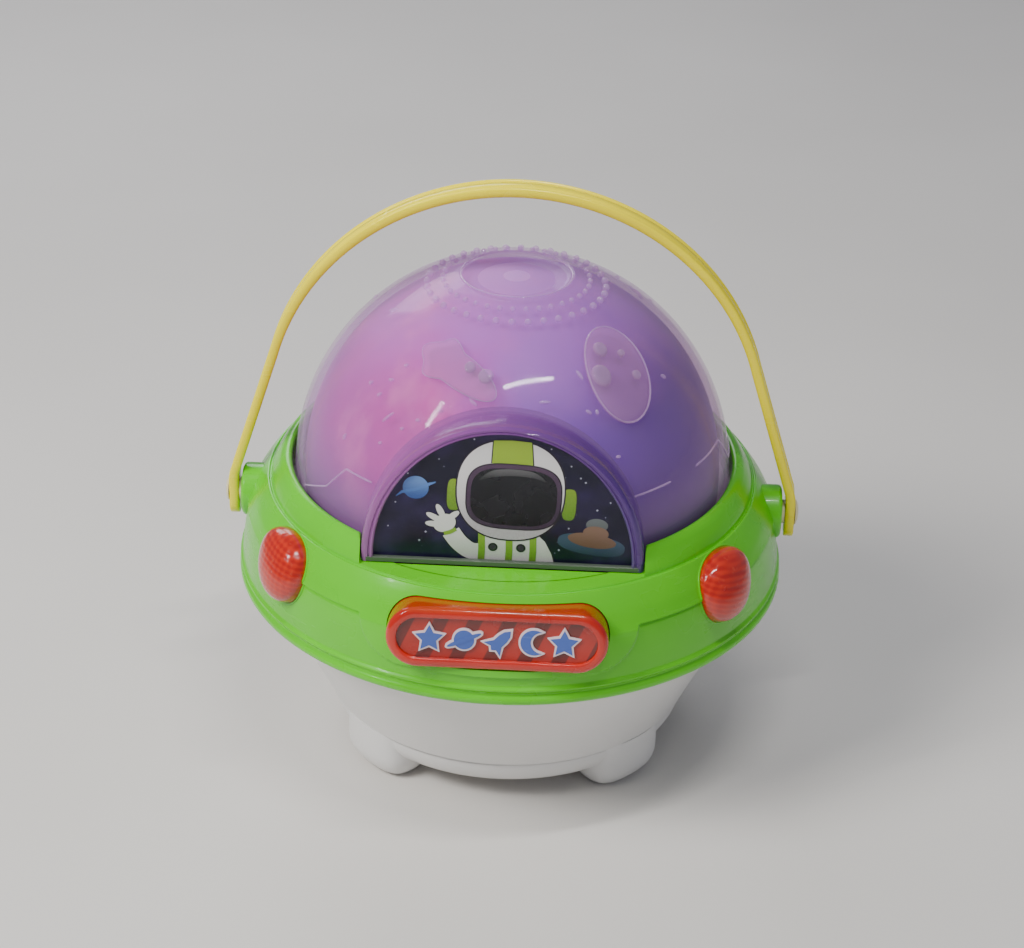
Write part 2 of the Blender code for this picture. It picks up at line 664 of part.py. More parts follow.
def strap_line():
    """The middle line of the strap as (x, height above the pivot), left end to right end."""
    splay = math.radians(LEG_SPLAY)
    bend = 14.0  # the strap leans in above this height
    points = [(-STRAP_END_X, -STRAP_BELOW_PIVOT), (-STRAP_END_X, 6.8)]
    points += [(-STRAP_END_X + 0.5, 10.4), (-STRAP_END_X + 1.6, bend)]
    joint_x = -ARCH_RADIUS * math.cos(splay)
    joint_z = ARCH_RISE + ARCH_RADIUS * math.sin(splay)
    for share in (0.33, 0.66):
        x = points[3][0] + (joint_x - points[3][0]) * share
        z = bend + (joint_z - bend) * share
        points.append((x, z))
    count = 19
    for i in range(count):
        angle = math.pi - splay - (math.pi - 2 * splay) * i / (count - 1)
        points.append((ARCH_RADIUS * math.cos(angle), ARCH_RISE + ARCH_RADIUS * math.sin(angle)))
    mirrored = [(-x, z) for x, z in reversed(points[:6])]
    return points + mirrored


def handle():
    """A flat strap: the middle line offset to both sides as an outline, and given its width along Y."""
    line = strap_line()
    half = STRAP_THICKNESS / 2
    outer = []
    inner = []
    for i, (x, z) in enumerate(line):
        before = line[max(i - 1, 0)]
        after = line[min(i + 1, len(line) - 1)]
        along = Vector((after[0] - before[0], after[1] - before[1])).normalized()
        outer.append((x - along.y * half, z + along.x * half))
        inner.append((x + along.y * half, z - along.x * half))
    strap = plate("handle", outer + inner[::-1], STRAP_WIDTH, YELLOW, bevel=0.9)
    strap.location.z = PIVOT_HEIGHT * MM
    holes = []
    for side in (-1, 1):
        at = (side * STRAP_END_X, 0, PIVOT_HEIGHT)
        holes.append(rod(f"handle_hole_{side}", PIN_RADIUS + 0.4, 12.0, at, axis="X", sides=20))
    cut(strap, *holes)
    smooth(strap)


def pivots():
    for name, side in (("left", -1), ("right", 1)):
        outer_face = STRAP_END_X + STRAP_THICKNESS / 2
        head = outer_face + GAP
        profile = [
            (0, head + 1.5),
            (3.6, head + 1.4),
            (5.6, head + 0.6),
            (6.0, head),
            (PIN_RADIUS, head),
            (PIN_RADIUS, 108.0),
            (0, 108.0),
        ]
        pin = turned(f"pivot_pin_{name}", profile, CREAM, 20)
        spacer_x = side * (BOSS_END + STRAP_END_X - STRAP_THICKNESS / 2) / 2
        bore_radius = PIN_RADIUS + GAP
        for kind, x, radius, thickness, spec in (
            ("spacer", spacer_x, 5.6, 1.2, CREAM),
            ("clip", side * CLIP_X, 7.0, 1.5, STEEL),
        ):
            washer = rod(f"pivot_{kind}_{name}", radius, thickness, (x, 0, PIVOT_HEIGHT), spec, axis="X")
            cut(washer, rod(f"{kind}_bore_{name}", bore_radius, 8.0, (x, 0, PIVOT_HEIGHT), axis="X"))
        pin.rotation_euler = (0, side * math.pi / 2, 0)
        pin.location.z = PIVOT_HEIGHT * MM


# ---------------------------------------------------------------- inside the base


def battery_case():
    wall = BOX_WALL
    width = 2 * (BOX_HALF_WIDTH + wall)
    length = 2 * (BOX_HALF_LENGTH + wall)
    foot_height = BOWL_BOTTOM + BOWL_WALL + GAP
    middle = (0, 0, (BOX_TOP + foot_height) / 2)
    box = block("battery_box", (width, length, BOX_TOP - foot_height), middle, BLACK)
    ear = block("box_ear", (10.0, 12.0, 10.0), (0, BOX_HALF_LENGTH + 6.4, foot_height + 5.0))
    corners = [(22 * x, 24 * y, BOX_TOP + 1.8) for x in (-1, 1) for y in (-1, 1)]
    pegs = [rod(f"box_peg_{i}", 2.2, 5.0, corner, sides=8) for i, corner in enumerate(corners)]
    join(box, ear, *pegs)
    hollow_top = BOX_TOP - wall
    hollow_size = (2 * BOX_HALF_WIDTH, 2 * BOX_HALF_LENGTH, hollow_top)
    hollow = block("box_hollow", hollow_size, (0, 0, hollow_top / 2))
    screw_hole = rod("box_screw_hole", 1.6, 20.0, (0, DOOR_SCREW_Y, 12.0), sides=10)
    cut(box, hollow, screw_hole)

    door_size = (2 * DOOR_HALF_WIDTH, 2 * DOOR_HALF_LENGTH, 2.0)
    door = block("battery_door", door_size, (0, 0, BOWL_BOTTOM + 1.0), WHITE)
    tab = block("door_tab", (14.0, 11.0, 2.0), (0, DOOR_HALF_LENGTH + 4.9, BOWL_BOTTOM + 1.0))
    join(door, tab)
    cut(door, rod("door_screw_hole", 1.6, 10.0, (0, DOOR_SCREW_Y, BOWL_BOTTOM), sides=10))
    screw("battery_door_screw", (0, DOOR_SCREW_Y, BOWL_BOTTOM - GAP), 10.0)

    plate_y = BOX_HALF_LENGTH - 0.6
    for number in (1, 2, 3):
        x = (number - 2) * CELL_PITCH
        turn = 1 if number != 2 else -1
        cell_profile = [
            (0, CELL_LENGTH + 1.0),
            (2.6, CELL_LENGTH + 1.0),
            (2.6, CELL_LENGTH),
            (CELL_RADIUS, CELL_LENGTH),
            (CELL_RADIUS, 0.0),
            (0, 0.0),
        ]
        cell = turned(f"battery_{number}", cell_profile, CELL, 18)
        cell.rotation_euler = (turn * math.pi / 2, 0, 0)
        nose_end = -turn * (plate_y - 0.3 - GAP)
        cell.location = Vector((x, nose_end + turn * (CELL_LENGTH + 1.0), CELL_HEIGHT)) * MM
        spring_length = 2 * (plate_y - 0.3 - GAP) - (CELL_LENGTH + 1.0) - GAP
        spring = coil(f"battery_spring_{number}", 3.6, 0.4, spring_length, 2, 7)
        spring.location = Vector((x, turn * (plate_y - 0.3 - GAP - spring_length), CELL_HEIGHT)) * MM
        if turn < 0:
            spring.location.y = -(plate_y - 0.3 - GAP) * MM
    for name, side in (("front", -1), ("back", 1)):
        block(f"battery_contact_{name}", (44.0, 0.5, 10.0), (0, side * plate_y, CELL_HEIGHT), STEEL)


def screw(name, under_head, length):
    """A pan-head screw pointing up, its head's upper side at under_head. The head is below."""
    x, y, z = under_head
    profile = [
        (0, length),
        (1.3, length - 1.2),
        (1.3, 0.0),
        (2.9, 0.0),
        (2.9, -0.9),
        (2.0, -1.9),
        (0, -2.1),
    ]
    obj = turned(name, profile, STEEL, 12)
    obj.location = (x * MM, y * MM, z * MM)
    return obj


def electronics():
    board_height = BOX_TOP + 4.3 + GAP + 0.8
    block("main_board", (66.0, 56.0, 1.6), (0, 0, board_height), BOARD)
    chip = turned("sound_chip", [(0, 2.2), (3.0, 1.9), (5.0, 0.8), (5.4, 0), (0, 0)], BLACK, 16)
    chip.location = Vector((12.0, 0.0, board_height + 0.8 + GAP)) * MM

    floor = BOWL_BOTTOM + BOWL_WALL + GAP
    frame = [
        (0, floor + 11.0),
        (7.5, floor + 11.0),
        (7.5, floor + 7.0),
        (10.0, floor + 6.6),
        (16.0, floor + 1.4),
        (SPEAKER_RADIUS, floor + 1.2),
        (SPEAKER_RADIUS, floor),
        (15.4, floor),
        (9.0, floor + 5.4),
        (0, floor + 5.4),
    ]
    paper = [
        (0, floor + 3.2),
        (3.0, floor + 3.6),
        (14.6, floor + 0.5),
        (14.6, floor),
        (3.0, floor + 3.0),
        (0, floor + 2.6),
    ]
    speaker = turned("speaker_frame", frame, STEEL, 20)
    cone = turned("speaker_cone", paper, BLACK, 20)
    for obj in (speaker, cone):
        obj.location.x = SPEAKER_X * MM
    clamp_z = floor + 1.2 + GAP
    ring = [(20.0, clamp_z + 1.4), (20.0, clamp_z), (16.6, clamp_z), (16.6, clamp_z + 1.4)]
    clamp = turned("speaker_clamp", ring, BLACK, 20)
    clamp.location.x = SPEAKER_X * MM
    for side in (-1, 1):
        spot = (SPEAKER_X, side * 21.5, clamp_z + 0.7)
        join(clamp, block(f"clamp_ear_{side}", (7.0, 6.4, 1.4), spot))
    for side in (-1, 1):
        cut(clamp, rod(f"clamp_hole_{side}", 1.8, 8.0, (SPEAKER_X, side * 21.5, clamp_z), sides=10))

    middle = SWITCH_TRAVEL / 2
    body = block("power_switch_body", (9.0, 20.0, 8.0), (SWITCH_X, middle, floor + 4.0), BLACK)
    cut(body, block("switch_hollow", (5.0, 12.0, 12.0), (SWITCH_X, middle, floor)))
    block("power_switch_knob", (3.6, 4.6, 9.2), (SWITCH_X, 0, 7.6 + 4.6), BLACK, bevel=0.5)


def fasteners():
    for number, azimuth in enumerate(BODY_SCREW_AZIMUTHS, 1):
        x, y = around(BODY_SCREW_CIRCLE, azimuth)
        screw(f"body_screw_{number}", (x, y, 84.6 - GAP), 15.0)
    for number, azimuth in enumerate(DOME_SCREW_AZIMUTHS, 1):
        x, y = around(DOME_SCREW_CIRCLE, azimuth)
        screw(f"dome_screw_{number}", (x, y, DECK_TOP - DECK_THICKNESS - GAP), 11.0)


saucer_ring()
base_bowl()
dome_shell()
dome_liner()
window()
deck()
front_button()
side_lamps()
handle()
pivots()
battery_case()
electronics()
fasteners()
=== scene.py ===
import json
import math

import bmesh
import bpy
import numpy as np
from mathutils import Matrix, Vector
from mathutils.bvhtree import BVHTree


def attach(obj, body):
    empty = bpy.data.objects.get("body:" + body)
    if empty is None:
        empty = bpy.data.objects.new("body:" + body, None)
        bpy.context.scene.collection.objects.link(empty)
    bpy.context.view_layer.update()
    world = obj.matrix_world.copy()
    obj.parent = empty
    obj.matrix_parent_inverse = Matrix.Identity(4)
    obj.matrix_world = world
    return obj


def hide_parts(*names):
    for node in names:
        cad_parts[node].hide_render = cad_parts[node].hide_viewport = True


# Looks for a toy flying saucer. Sizes are millimetres until a mesh is made.
# +Z is up and the front faces -Y.
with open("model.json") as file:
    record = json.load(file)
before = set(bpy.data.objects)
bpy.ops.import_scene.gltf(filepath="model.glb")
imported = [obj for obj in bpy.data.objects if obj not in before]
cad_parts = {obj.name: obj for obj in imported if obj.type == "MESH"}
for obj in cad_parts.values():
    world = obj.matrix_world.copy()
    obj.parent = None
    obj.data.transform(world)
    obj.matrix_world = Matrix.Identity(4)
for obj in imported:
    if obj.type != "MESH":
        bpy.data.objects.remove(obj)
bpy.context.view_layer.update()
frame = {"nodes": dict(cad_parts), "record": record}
NODES = frame["nodes"]
MM = 0.001

SHELF_HEIGHT = 132.7
NOTCH_HALF_WIDTH = 62.3
LEDGE_HEIGHT = 117.2
DOME_RADIUS = 101.0
DOME_CENTRE = 135.0
INNER_DOME_RADIUS = 96.4
WINDOW_SILL = 135.5
WINDOW_FOOT = 133.1
PIVOT_HEIGHT = 116.0
BUTTON_CENTRE = (0.0, -126.0, 116.7)
BUTTON_TILT = 8.3
BUTTON_WIDTH = 96.0
BUTTON_HEIGHT = 28.0
BUTTON_GAP = 0.4
LAMP_AZIMUTH = 53.5
LAMP_HEIGHT = 118.6
LAMP_RADIUS = 122.8
LAMP_TILT = 24.0
LAMP_HALF_WIDTH = 16.0
LAMP_HALF_HEIGHT = 15.5
LAMP_RISE = 9.6
FOOT_AZIMUTHS = (47.0, 133.0, 227.0, 313.0)
FOOT_CIRCLE = 73.0
FOOT_RADIUS = 20.5
FOOT_ROUNDING = 12.0
FOOT_BLEND = 6.0
BASE_LIMIT_RADIUS = 88.0
RECESS_DEPTH = 1.5
MARGIN_HALF_STRAIGHT = 43.0
MARGIN_HALF_HEIGHT = 17.5
STRAP_SPLAY = 15.7
STRAP_ARCH_RADIUS = 114.4
STRAP_ARCH_RISE = 43.0
STRAP_END_ROUNDING = 6.0
SPEAKER_X = 50.0
UNCAPPED = 200.0
PIN_HOLE_RADIUS = 3.4
BEAD_RADIUS = 0.45
DISH_RADIUS = 25.2
DISH_HEIGHT = 232.3
PLANET_PLACE = (44.0, 47.5, math.radians(-16))
ROCKET_PLACE = (-20.0, 50.4, math.radians(-24))


# ---------------------------------------------------------------- shader maths


class Value:
    """One output of a recipe's node, so that shader maths reads as an expression."""

    def __init__(self, recipe, socket):
        self.recipe = recipe
        self.socket = socket

    def maths(self, operation, first, second):
        settings = {"operation": operation}
        return self.recipe.node("ShaderNodeMath", settings, {0: first, 1: second})

    def __add__(self, other):
        return self.maths("ADD", self, other)

    def __radd__(self, other):
        return self.maths("ADD", other, self)

    def __sub__(self, other):
        return self.maths("SUBTRACT", self, other)

    def __rsub__(self, other):
        return self.maths("SUBTRACT", other, self)

    def __mul__(self, other):
        return self.maths("MULTIPLY", self, other)

    def __rmul__(self, other):
        return self.maths("MULTIPLY", other, self)

    def __pow__(self, other):
        return self.maths("POWER", self, other)


class Recipe:
    """A material and the node tree that mixes it."""

    def __init__(self, name, **constants):
        self.material = bpy.data.materials.new(name)
        self.material.use_nodes = True
        self.tree = self.material.node_tree
        self.shader = self.tree.nodes["Principled BSDF"]
        for key, value in constants.items():
            self.shader.inputs[key.replace("_", " ")].default_value = value

    def node(self, kind, settings=None, inputs=None, out=0):
        node = self.tree.nodes.new(kind)
        for key, value in (settings or {}).items():
            if key == "stops":
                self.set_stops(node.color_ramp, value)
            else:
                setattr(node, key, value)
        for key, value in (inputs or {}).items():
            self.feed(node.inputs[key], value)
        return Value(self, node.outputs[out])

    def set_stops(self, ramp, stops):
        while len(ramp.elements) < len(stops):
            ramp.elements.new(1.0)
        for element, (position, colour) in zip(ramp.elements, stops):
            element.position = position
            element.color = (*colour, 1.0)

    def feed(self, socket, value):
        if isinstance(value, Value):
            self.tree.links.new(value.socket, socket)
        else:
            socket.default_value = value

    def place(self):
        return self.node("ShaderNodeTexCoord", out="Object")

    def axes(self):
        """The place on the object along X, Y and Z, in metres."""
        return [self.node("ShaderNodeSeparateXYZ", None, {0: self.place()}, out=i) for i in range(3)]

    def noise(self, scale, detail=3.0, stretch=None, roughness=0.5):
        where = self.place()
        if stretch:
            where = self.node("ShaderNodeMapping", None, {"Vector": where, "Scale": stretch})
        inputs = {"Vector": where, "Scale": scale, "Detail": detail, "Roughness": roughness}
        return self.node("ShaderNodeTexNoise", None, inputs)

    def sine(self, value):
        return self.node("ShaderNodeMath", {"operation": "SINE"}, {0: value})

    def span(self, value, low, high, to_low=0.0, to_high=1.0):
        settings = {"interpolation_type": "SMOOTHSTEP"}
        inputs = {0: value, 1: low, 2: high, 3: to_low, 4: to_high}
        return self.node("ShaderNodeMapRange", settings, inputs)

    def mix(self, share, first, second, blend="MIX"):
        settings = {"data_type": "RGBA", "blend_type": blend}
        first = (*first, 1.0) if isinstance(first, tuple) else first
        second = (*second, 1.0) if isinstance(second, tuple) else second
        return self.node("ShaderNodeMix", settings, {0: share, 6: first, 7: second}, out=2)

    def colour(self, value):
        self.feed(self.shader.inputs["Base Color"], value)

    def soft_inside(self, weight, radius, scale):
        """Lets light spread under the skin."""
        for key, value in (("Weight", weight), ("Radius", radius), ("Scale", scale)):
            self.shader.inputs[f"Subsurface {key}"].default_value = value

    def rough(self, value):
        self.feed(self.shader.inputs["Roughness"], value)

    def relief(self, height, distance, strength=1.0):
        inputs = {"Height": height, "Distance": distance, "Strength": strength}
        self.feed(self.shader.inputs["Normal"], self.node("ShaderNodeBump", None, inputs))

    def see_through(self, share, tint):
        """Lets what is behind show, by 1 minus share."""
        clear = self.node("ShaderNodeBsdfTransparent", None, {"Color": (*tint, 1.0)})
        shader = Value(self, self.shader.outputs[0])
        both = self.node("ShaderNodeMixShader", None, {0: share, 1: clear, 2: shader})
        output = self.tree.nodes["Material Output"]
        self.feed(output.inputs["Surface"], both)


def moulded(name, colour, roughness=0.3, coat=0.0, shift=0.12, wear=0.12, sss=0.0, grain=0.00006):
    """Moulded plastic: slight colour drift, handling marks in its gloss, and a fine skin."""
    recipe = Recipe(name, IOR=1.49, Coat_Weight=coat, Coat_Roughness=0.06)
    if sss:
        recipe.soft_inside(sss, (1.0, 1.0, 0.4), 0.004)
    drift = recipe.span(recipe.noise(14.0, 3.0), 0.3, 0.7)
    deep = tuple(c * (1.0 - shift) for c in colour)
    base = recipe.mix(drift, deep, colour)
    marks = recipe.span(recipe.noise(60.0, 5.0, (1.0, 1.0, 6.0)), 0.56, 0.8)
    pale = tuple(c + (1.0 - c) * 0.25 for c in colour)
    recipe.colour(recipe.mix(marks * wear, base, pale))
    smear = recipe.span(recipe.noise(22.0, 4.0), 0.35, 0.75, roughness * 0.82, roughness * 1.2)
    recipe.rough(smear + marks * 0.12)
    recipe.relief(recipe.noise(900.0, 2.0), grain, 0.35)
    return recipe.material


def brushed_metal(name, colour, roughness=0.3):
    recipe = Recipe(name, Metallic=1.0)
    streak = recipe.noise(240.0, 3.0, (1.0, 9.0, 1.0))
    tarnish = recipe.span(recipe.noise(35.0, 4.0), 0.45, 0.75)
    recipe.colour(recipe.mix(tarnish * 0.5, colour, tuple(c * 0.6 for c in colour)))
    recipe.rough(recipe.span(streak, 0.3, 0.7, roughness * 0.8, roughness * 1.4))
    recipe.relief(streak, 0.00004, 0.4)
    return recipe.material


def clear_plastic(name, tint, haze, facing=0.08, edge=0.75, roughness=0.04, ior=1.9, shade=None):
    """See-through plastic that turns milky and shiny towards its edges."""
    recipe = Recipe(name, Base_Color=(*haze, 1.0), Roughness=roughness, IOR=ior)
    rim = recipe.node("ShaderNodeLayerWeight", None, {"Blend": 0.35}, out="Facing")
    streaks = recipe.span(recipe.noise(9.0, 3.0, (1.0, 1.0, 0.35)), 0.4, 0.7)
    recipe.rough(recipe.span(recipe.noise(45.0, 4.0), 0.4, 0.8, roughness, roughness * 2.2))
    # Painted shade: given a shade colour, the haze darkens towards it to the right, the side away from
    # the light.
    if shade:
        across = recipe.span(recipe.axes()[0], -0.06, 0.06)
        recipe.colour(recipe.mix(across, haze, shade))
    share = facing + (edge - facing) * (rim ** 2.6) + streaks * (facing * 0.5)
    recipe.see_through(share, tint)
    return recipe.material


def inner_dome_colour():
    """Milky plastic: magenta at the left, lavender above, violet at the right, with painted shade that
    darkens it towards the right and towards the bottom.
    """
    recipe = Recipe("milky_dome", IOR=1.45, Subsurface_Weight=0.15, Subsurface_Scale=0.006)
    x, _, z = recipe.axes()
    cloud = recipe.noise(16.0, 3.0)
    wisps = recipe.noise(38.0, 4.0, (1.0, 1.0, 0.5))
    across = x * (1.0 / (INNER_DOME_RADIUS * MM)) + (cloud - 0.5) * 0.75
    # The ramp runs from magenta to violet; its darkening at the right end is painted shade, on the side
    # away from the light.
    stops = [
        (0.0, (0.40, 0.09, 0.34)),
        (0.22, (0.66, 0.020, 0.33)),
        (0.42, (0.48, 0.045, 0.46)),
        (0.6, (0.20, 0.05, 0.46)),
        (0.78, (0.10, 0.006, 0.42)),
        (1.0, (0.05, 0.015, 0.19)),
    ]
    body = recipe.node("ShaderNodeValToRGB", {"stops": stops}, {0: recipe.span(across, -1.0, 1.0)})
    top = recipe.span(z + (cloud - 0.5) * 0.05, 0.188, 0.232)
    body = recipe.mix(top * 0.75, body, (0.56, 0.24, 0.66))
    pale = recipe.span(wisps, 0.5, 0.72) * recipe.span(x, 0.03, -0.05)
    body = recipe.mix(pale * 0.5, body, (0.86, 0.30, 0.50))
    # Painted shade: darker towards the bottom of the dome.
    low = recipe.span(z, 0.175, 0.136) * 0.7
    body = recipe.mix(low, body, (0.07, 0.025, 0.16))
    recipe.colour(body)
    recipe.rough(recipe.span(cloud, 0.3, 0.7, 0.32, 0.5))
    recipe.relief(wisps, 0.0008, 0.3)
    return recipe.material


def ribbed_red():
    """A red lamp lens: fine prisms under a smooth clear surface."""
    recipe = Recipe("red_lamp", IOR=1.5, Coat_Weight=1.0, Coat_Roughness=0.03, Coat_IOR=1.5)
    recipe.soft_inside(0.1, (1.0, 0.25, 0.05), 0.006)
    x, y, z = recipe.axes()
    ribs = recipe.sine((z + x * 0.25) * 2600.0)
    cross = recipe.sine((x - y) * 1500.0)
    prisms = ribs * 0.5 + cross * 0.35
    flecks = recipe.span(recipe.noise(260.0, 2.0), 0.62, 0.72)
    body = recipe.mix(recipe.span(prisms, -0.8, 0.8), (0.40, 0.006, 0.0), (0.56, 0.020, 0.001))
    body = recipe.mix(flecks * 0.12, body, (0.9, 0.2, 0.08))
    recipe.colour(recipe.mix(recipe.span(z, 0.128, 0.104) * 0.5, body, (0.5, 0.012, 0.004)))
    recipe.rough(recipe.span(recipe.noise(80.0, 3.0), 0.4, 0.7, 0.18, 0.3))
    recipe.relief(prisms + flecks * 0.6, 0.0003, 0.25)
    return recipe.material


def button_red(name, stripes=False):
    recipe = Recipe(name, IOR=1.5, Coat_Weight=0.8, Coat_Roughness=0.05)
    recipe.soft_inside(0.2, (1.0, 0.2, 0.05), 0.005)
    x, _, z = recipe.axes()
    cloud = recipe.span(recipe.noise(30.0, 3.0), 0.3, 0.7)
    body = recipe.mix(cloud, (0.42, 0.008, 0.001), (0.58, 0.016, 0.002))
    if stripes:
        slant = x - (z - BUTTON_CENTRE[2] * MM) * 0.45
        wave = recipe.sine(slant * 430.0 + 0.9)
        dark = recipe.span(wave, 0.05, 0.35)
        body = recipe.mix(0.35 + dark * 0.55, body, (0.10, 0.006, 0.003))
    else:
        # Painted light: the top wall is painted orange for light shining through the translucent red.
        top = recipe.span(z, 0.1275, 0.1315)
        body = recipe.mix(top * 0.7, body, (0.46, 0.085, 0.006))
    recipe.colour(body)
    recipe.rough(recipe.span(recipe.noise(70.0, 4.0), 0.35, 0.75, 0.16, 0.3))
    recipe.relief(recipe.noise(420.0, 2.0), 0.00008, 0.3)
    return recipe.material


def printed(name, low_colour, high_colour, low, high, axis=2, roughness=0.35):
    """Flat printing ink that fades from one colour to another along an axis, with a fine dot grain."""
    recipe = Recipe(name, IOR=1.45, Roughness=roughness)
    along = recipe.axes()[axis]
    ink = recipe.mix(recipe.span(along, low * MM, high * MM), low_colour, high_colour)
    grain = recipe.noise(2400.0, 1.0)
    paler = tuple(min(c * 1.6 + 0.002, 1.0) for c in high_colour)
    recipe.colour(recipe.mix(recipe.span(grain, 0.4, 0.6) * 0.12, ink, paler))
    recipe.rough(recipe.span(recipe.noise(90.0, 2.0), 0.4, 0.6, roughness * 0.8, roughness * 1.2))
    return recipe.material


def night_sky():
    recipe = Recipe("night_sky_print", IOR=1.45)
    haze = recipe.span(recipe.noise(42.0, 4.0), 0.42, 0.72)
    sky = recipe.mix(haze, (0.006, 0.006, 0.022), (0.035, 0.022, 0.085))
    specks = recipe.node("ShaderNodeTexVoronoi", None, {"Vector": recipe.place(), "Scale": 330.0})
    glow = recipe.span(specks, 0.11, 0.04) * recipe.span(recipe.noise(70.0, 2.0), 0.5, 0.62)
    recipe.colour(recipe.mix(glow * 0.7, sky, (0.5, 0.5, 0.75)))
    recipe.rough(recipe.span(haze, 0.0, 1.0, 0.28, 0.4))
    return recipe.material


def board_green():
    recipe = Recipe("board_lacquer", Roughness=0.35)
    lines = recipe.node("ShaderNodeTexBrick", None, {"Vector": recipe.place(), "Scale": 90.0}, out=1)
    recipe.colour(recipe.mix(recipe.span(lines, 0.2, 0.8), (0.01, 0.13, 0.05), (0.03, 0.24, 0.09)))
    recipe.rough(recipe.span(recipe.noise(120.0, 2.0), 0.4, 0.6, 0.3, 0.45))
    return recipe.material


# ---------------------------------------------------------------- mesh helpers


def build(name, points, faces, materials, slots=None, sharp=38.0, recalculate=True):
    """A mesh from points in millimetres, smooth but for edges sharper than an angle."""
    mesh = bpy.data.meshes.new(name)
    mesh.from_pydata([tuple(c * MM for c in p) for p in points], [], [tuple(f) for f in faces])
    for material in materials:
        mesh.materials.append(material)
    if slots is not None:
        mesh.polygons.foreach_set("material_index", slots)
    shell = bmesh.new()
    shell.from_mesh(mesh)
    bmesh.ops.remove_doubles(shell, verts=shell.verts, dist=1e-7)
    if recalculate:
        bmesh.ops.recalc_face_normals(shell, faces=shell.faces)
    shell.to_mesh(mesh)
    shell.free()
    obj = bpy.data.objects.new(name, mesh)
    bpy.context.scene.collection.objects.link(obj)
    soften(obj, sharp)
    return obj


def soften(obj, sharp=38.0):
    mesh = obj.data
    mesh.polygons.foreach_set("use_smooth", [True] * len(mesh.polygons))
    mesh.set_sharp_from_angle(angle=math.radians(sharp))
    mesh.update()


def loft(name, loops, materials, caps=True, slots=None, sharp=38.0, closed=False):
    """Skins a list of loops of equal length. slots gives the material of each band between loops."""
    count = len(loops[0])
    points = [p for loop in loops for p in loop]
    faces = []
    bands = []
    rows = len(loops) if closed else len(loops) - 1
    for i in range(rows):
        for j in range(count):
            a = i * count + j
            b = i * count + (j + 1) % count
            c = ((i + 1) % len(loops)) * count
            faces.append((a, b, c + (j + 1) % count, c + j))
            bands.append(slots[i] if slots else 0)
    if caps:
        faces.append(tuple(range(count))[::-1])
        faces.append(tuple(range((len(loops) - 1) * count, len(loops) * count)))
        bands += [slots[0] if slots else 0, slots[-1] if slots else 0]
    return build(name, points, faces, materials, bands, sharp)


def lathe(name, profile, material, steps=128, sharp=38.0):
    """Turns a closed profile of (radius, height) about the upright axis."""
    loops = []
    for radius, height in profile:
        radius = max(radius, 1e-5)
        ring = [2 * math.pi * j / steps for j in range(steps)]
        loops.append([(radius * math.cos(a), radius * math.sin(a), height) for a in ring])
    closed = profile[0][0] > 0 or profile[-1][0] > 0
    return loft(name, loops, [material], caps=False, sharp=sharp, closed=closed)


def arc(centre, radius, start, end, count):
    turns = np.radians(np.linspace(start, end, count))
    return [(centre[0] + radius * math.cos(a), centre[1] + radius * math.sin(a)) for a in turns]


def flow(points, per=5):
    """Fills a line of points in with a smooth curve through them."""
    line = [points[0]] + list(points) + [points[-1]]
    out = []
    for i in range(1, len(line) - 2):
        p0, p1, p2, p3 = (np.array(line[k], float) for k in (i - 1, i, i + 1, i + 2))
        for t in np.linspace(0, 1, per, endpoint=False):
            a = 2 * p1 + (p2 - p0) * t
            b = (2 * p0 - 5 * p1 + 4 * p2 - p3) * t * t
            c = (3 * p1 - p0 - 3 * p2 + p3) * t * t * t
            out.append(tuple(0.5 * (a + b + c)))
    out.append(tuple(points[-1]))
    return out


def stadium(width, height, inset=0.0, count=20):
    r = height / 2
    side = width / 2 - r
    r -= inset
    right = [(side + x, z) for x, z in arc((0, 0), r, -90, 90, count)]
    left = [(-side + x, z) for x, z in arc((0, 0), r, 90, 270, count)]
    return right + left


def carve(obj, cutters, operation="DIFFERENCE"):
    """Cuts or joins other meshes with an exact Boolean and applies it."""
    for cutter in cutters:
        step = obj.modifiers.new("carve", "BOOLEAN")
        step.operation = operation
        step.solver = "EXACT"
        step.object = cutter
    bpy.context.view_layer.update()
    graph = bpy.context.evaluated_depsgraph_get()
    mesh = bpy.data.meshes.new_from_object(obj.evaluated_get(graph))
    obj.modifiers.clear()
    obj.data = mesh
    for cutter in cutters:
        bpy.data.objects.remove(cutter, do_unlink=True)
    soften(obj)
    return obj


def unite(name, objects):
    """Joins meshes into one object without cutting them."""
    shell = bmesh.new()
    materials = []
    for obj in objects:
        start = len(shell.faces)
        shell.from_mesh(obj.data)
        shell.faces.ensure_lookup_table()
        for face in shell.faces[start:]:
            material = obj.data.materials[face.material_index]
            if material not in materials:
                materials.append(material)
            face.material_index = materials.index(material)
    mesh = bpy.data.meshes.new(name)
    shell.to_mesh(mesh)
    shell.free()
    for material in materials:
        mesh.materials.append(material)
    for obj in objects:
        bpy.data.objects.remove(obj, do_unlink=True)
    result = bpy.data.objects.new(name, mesh)
    bpy.context.scene.collection.objects.link(result)
    soften(result)
    return result


def tube(name, points, radius, material, closed=False, sides=8):
    """A round bead along a line of points."""
    line = [Vector(p) for p in points]
    loops = []
    for i, point in enumerate(line):
        before = line[i - 1] if (i or closed) else point
        after = line[(i + 1) % len(line)] if (i + 1 < len(line) or closed) else point
        along = (after - before).normalized()
        side = along.cross(Vector((0, 0, 1)))
        side = side.normalized() if side.length > 1e-3 else Vector((1, 0, 0))
        up = side.cross(along).normalized()
        turns = [2 * math.pi * k / sides for k in range(sides)]
        loops.append([tuple(point + (side * math.cos(a) + up * math.sin(a)) * radius) for a in turns])
    return loft(name, loops, [material], caps=not closed, closed=closed, sharp=80.0)


def moved(obj, matrix):
    """Puts a mesh made about the origin in its place, in its mesh."""
    scaled = matrix.copy()
    scaled.translation = scaled.translation * MM
    obj.data.transform(scaled)
    return obj


def button_frame():
    turn = Matrix.Rotation(math.radians(-BUTTON_TILT), 4, "X")
    return Matrix.Translation(Vector(BUTTON_CENTRE)) @ turn


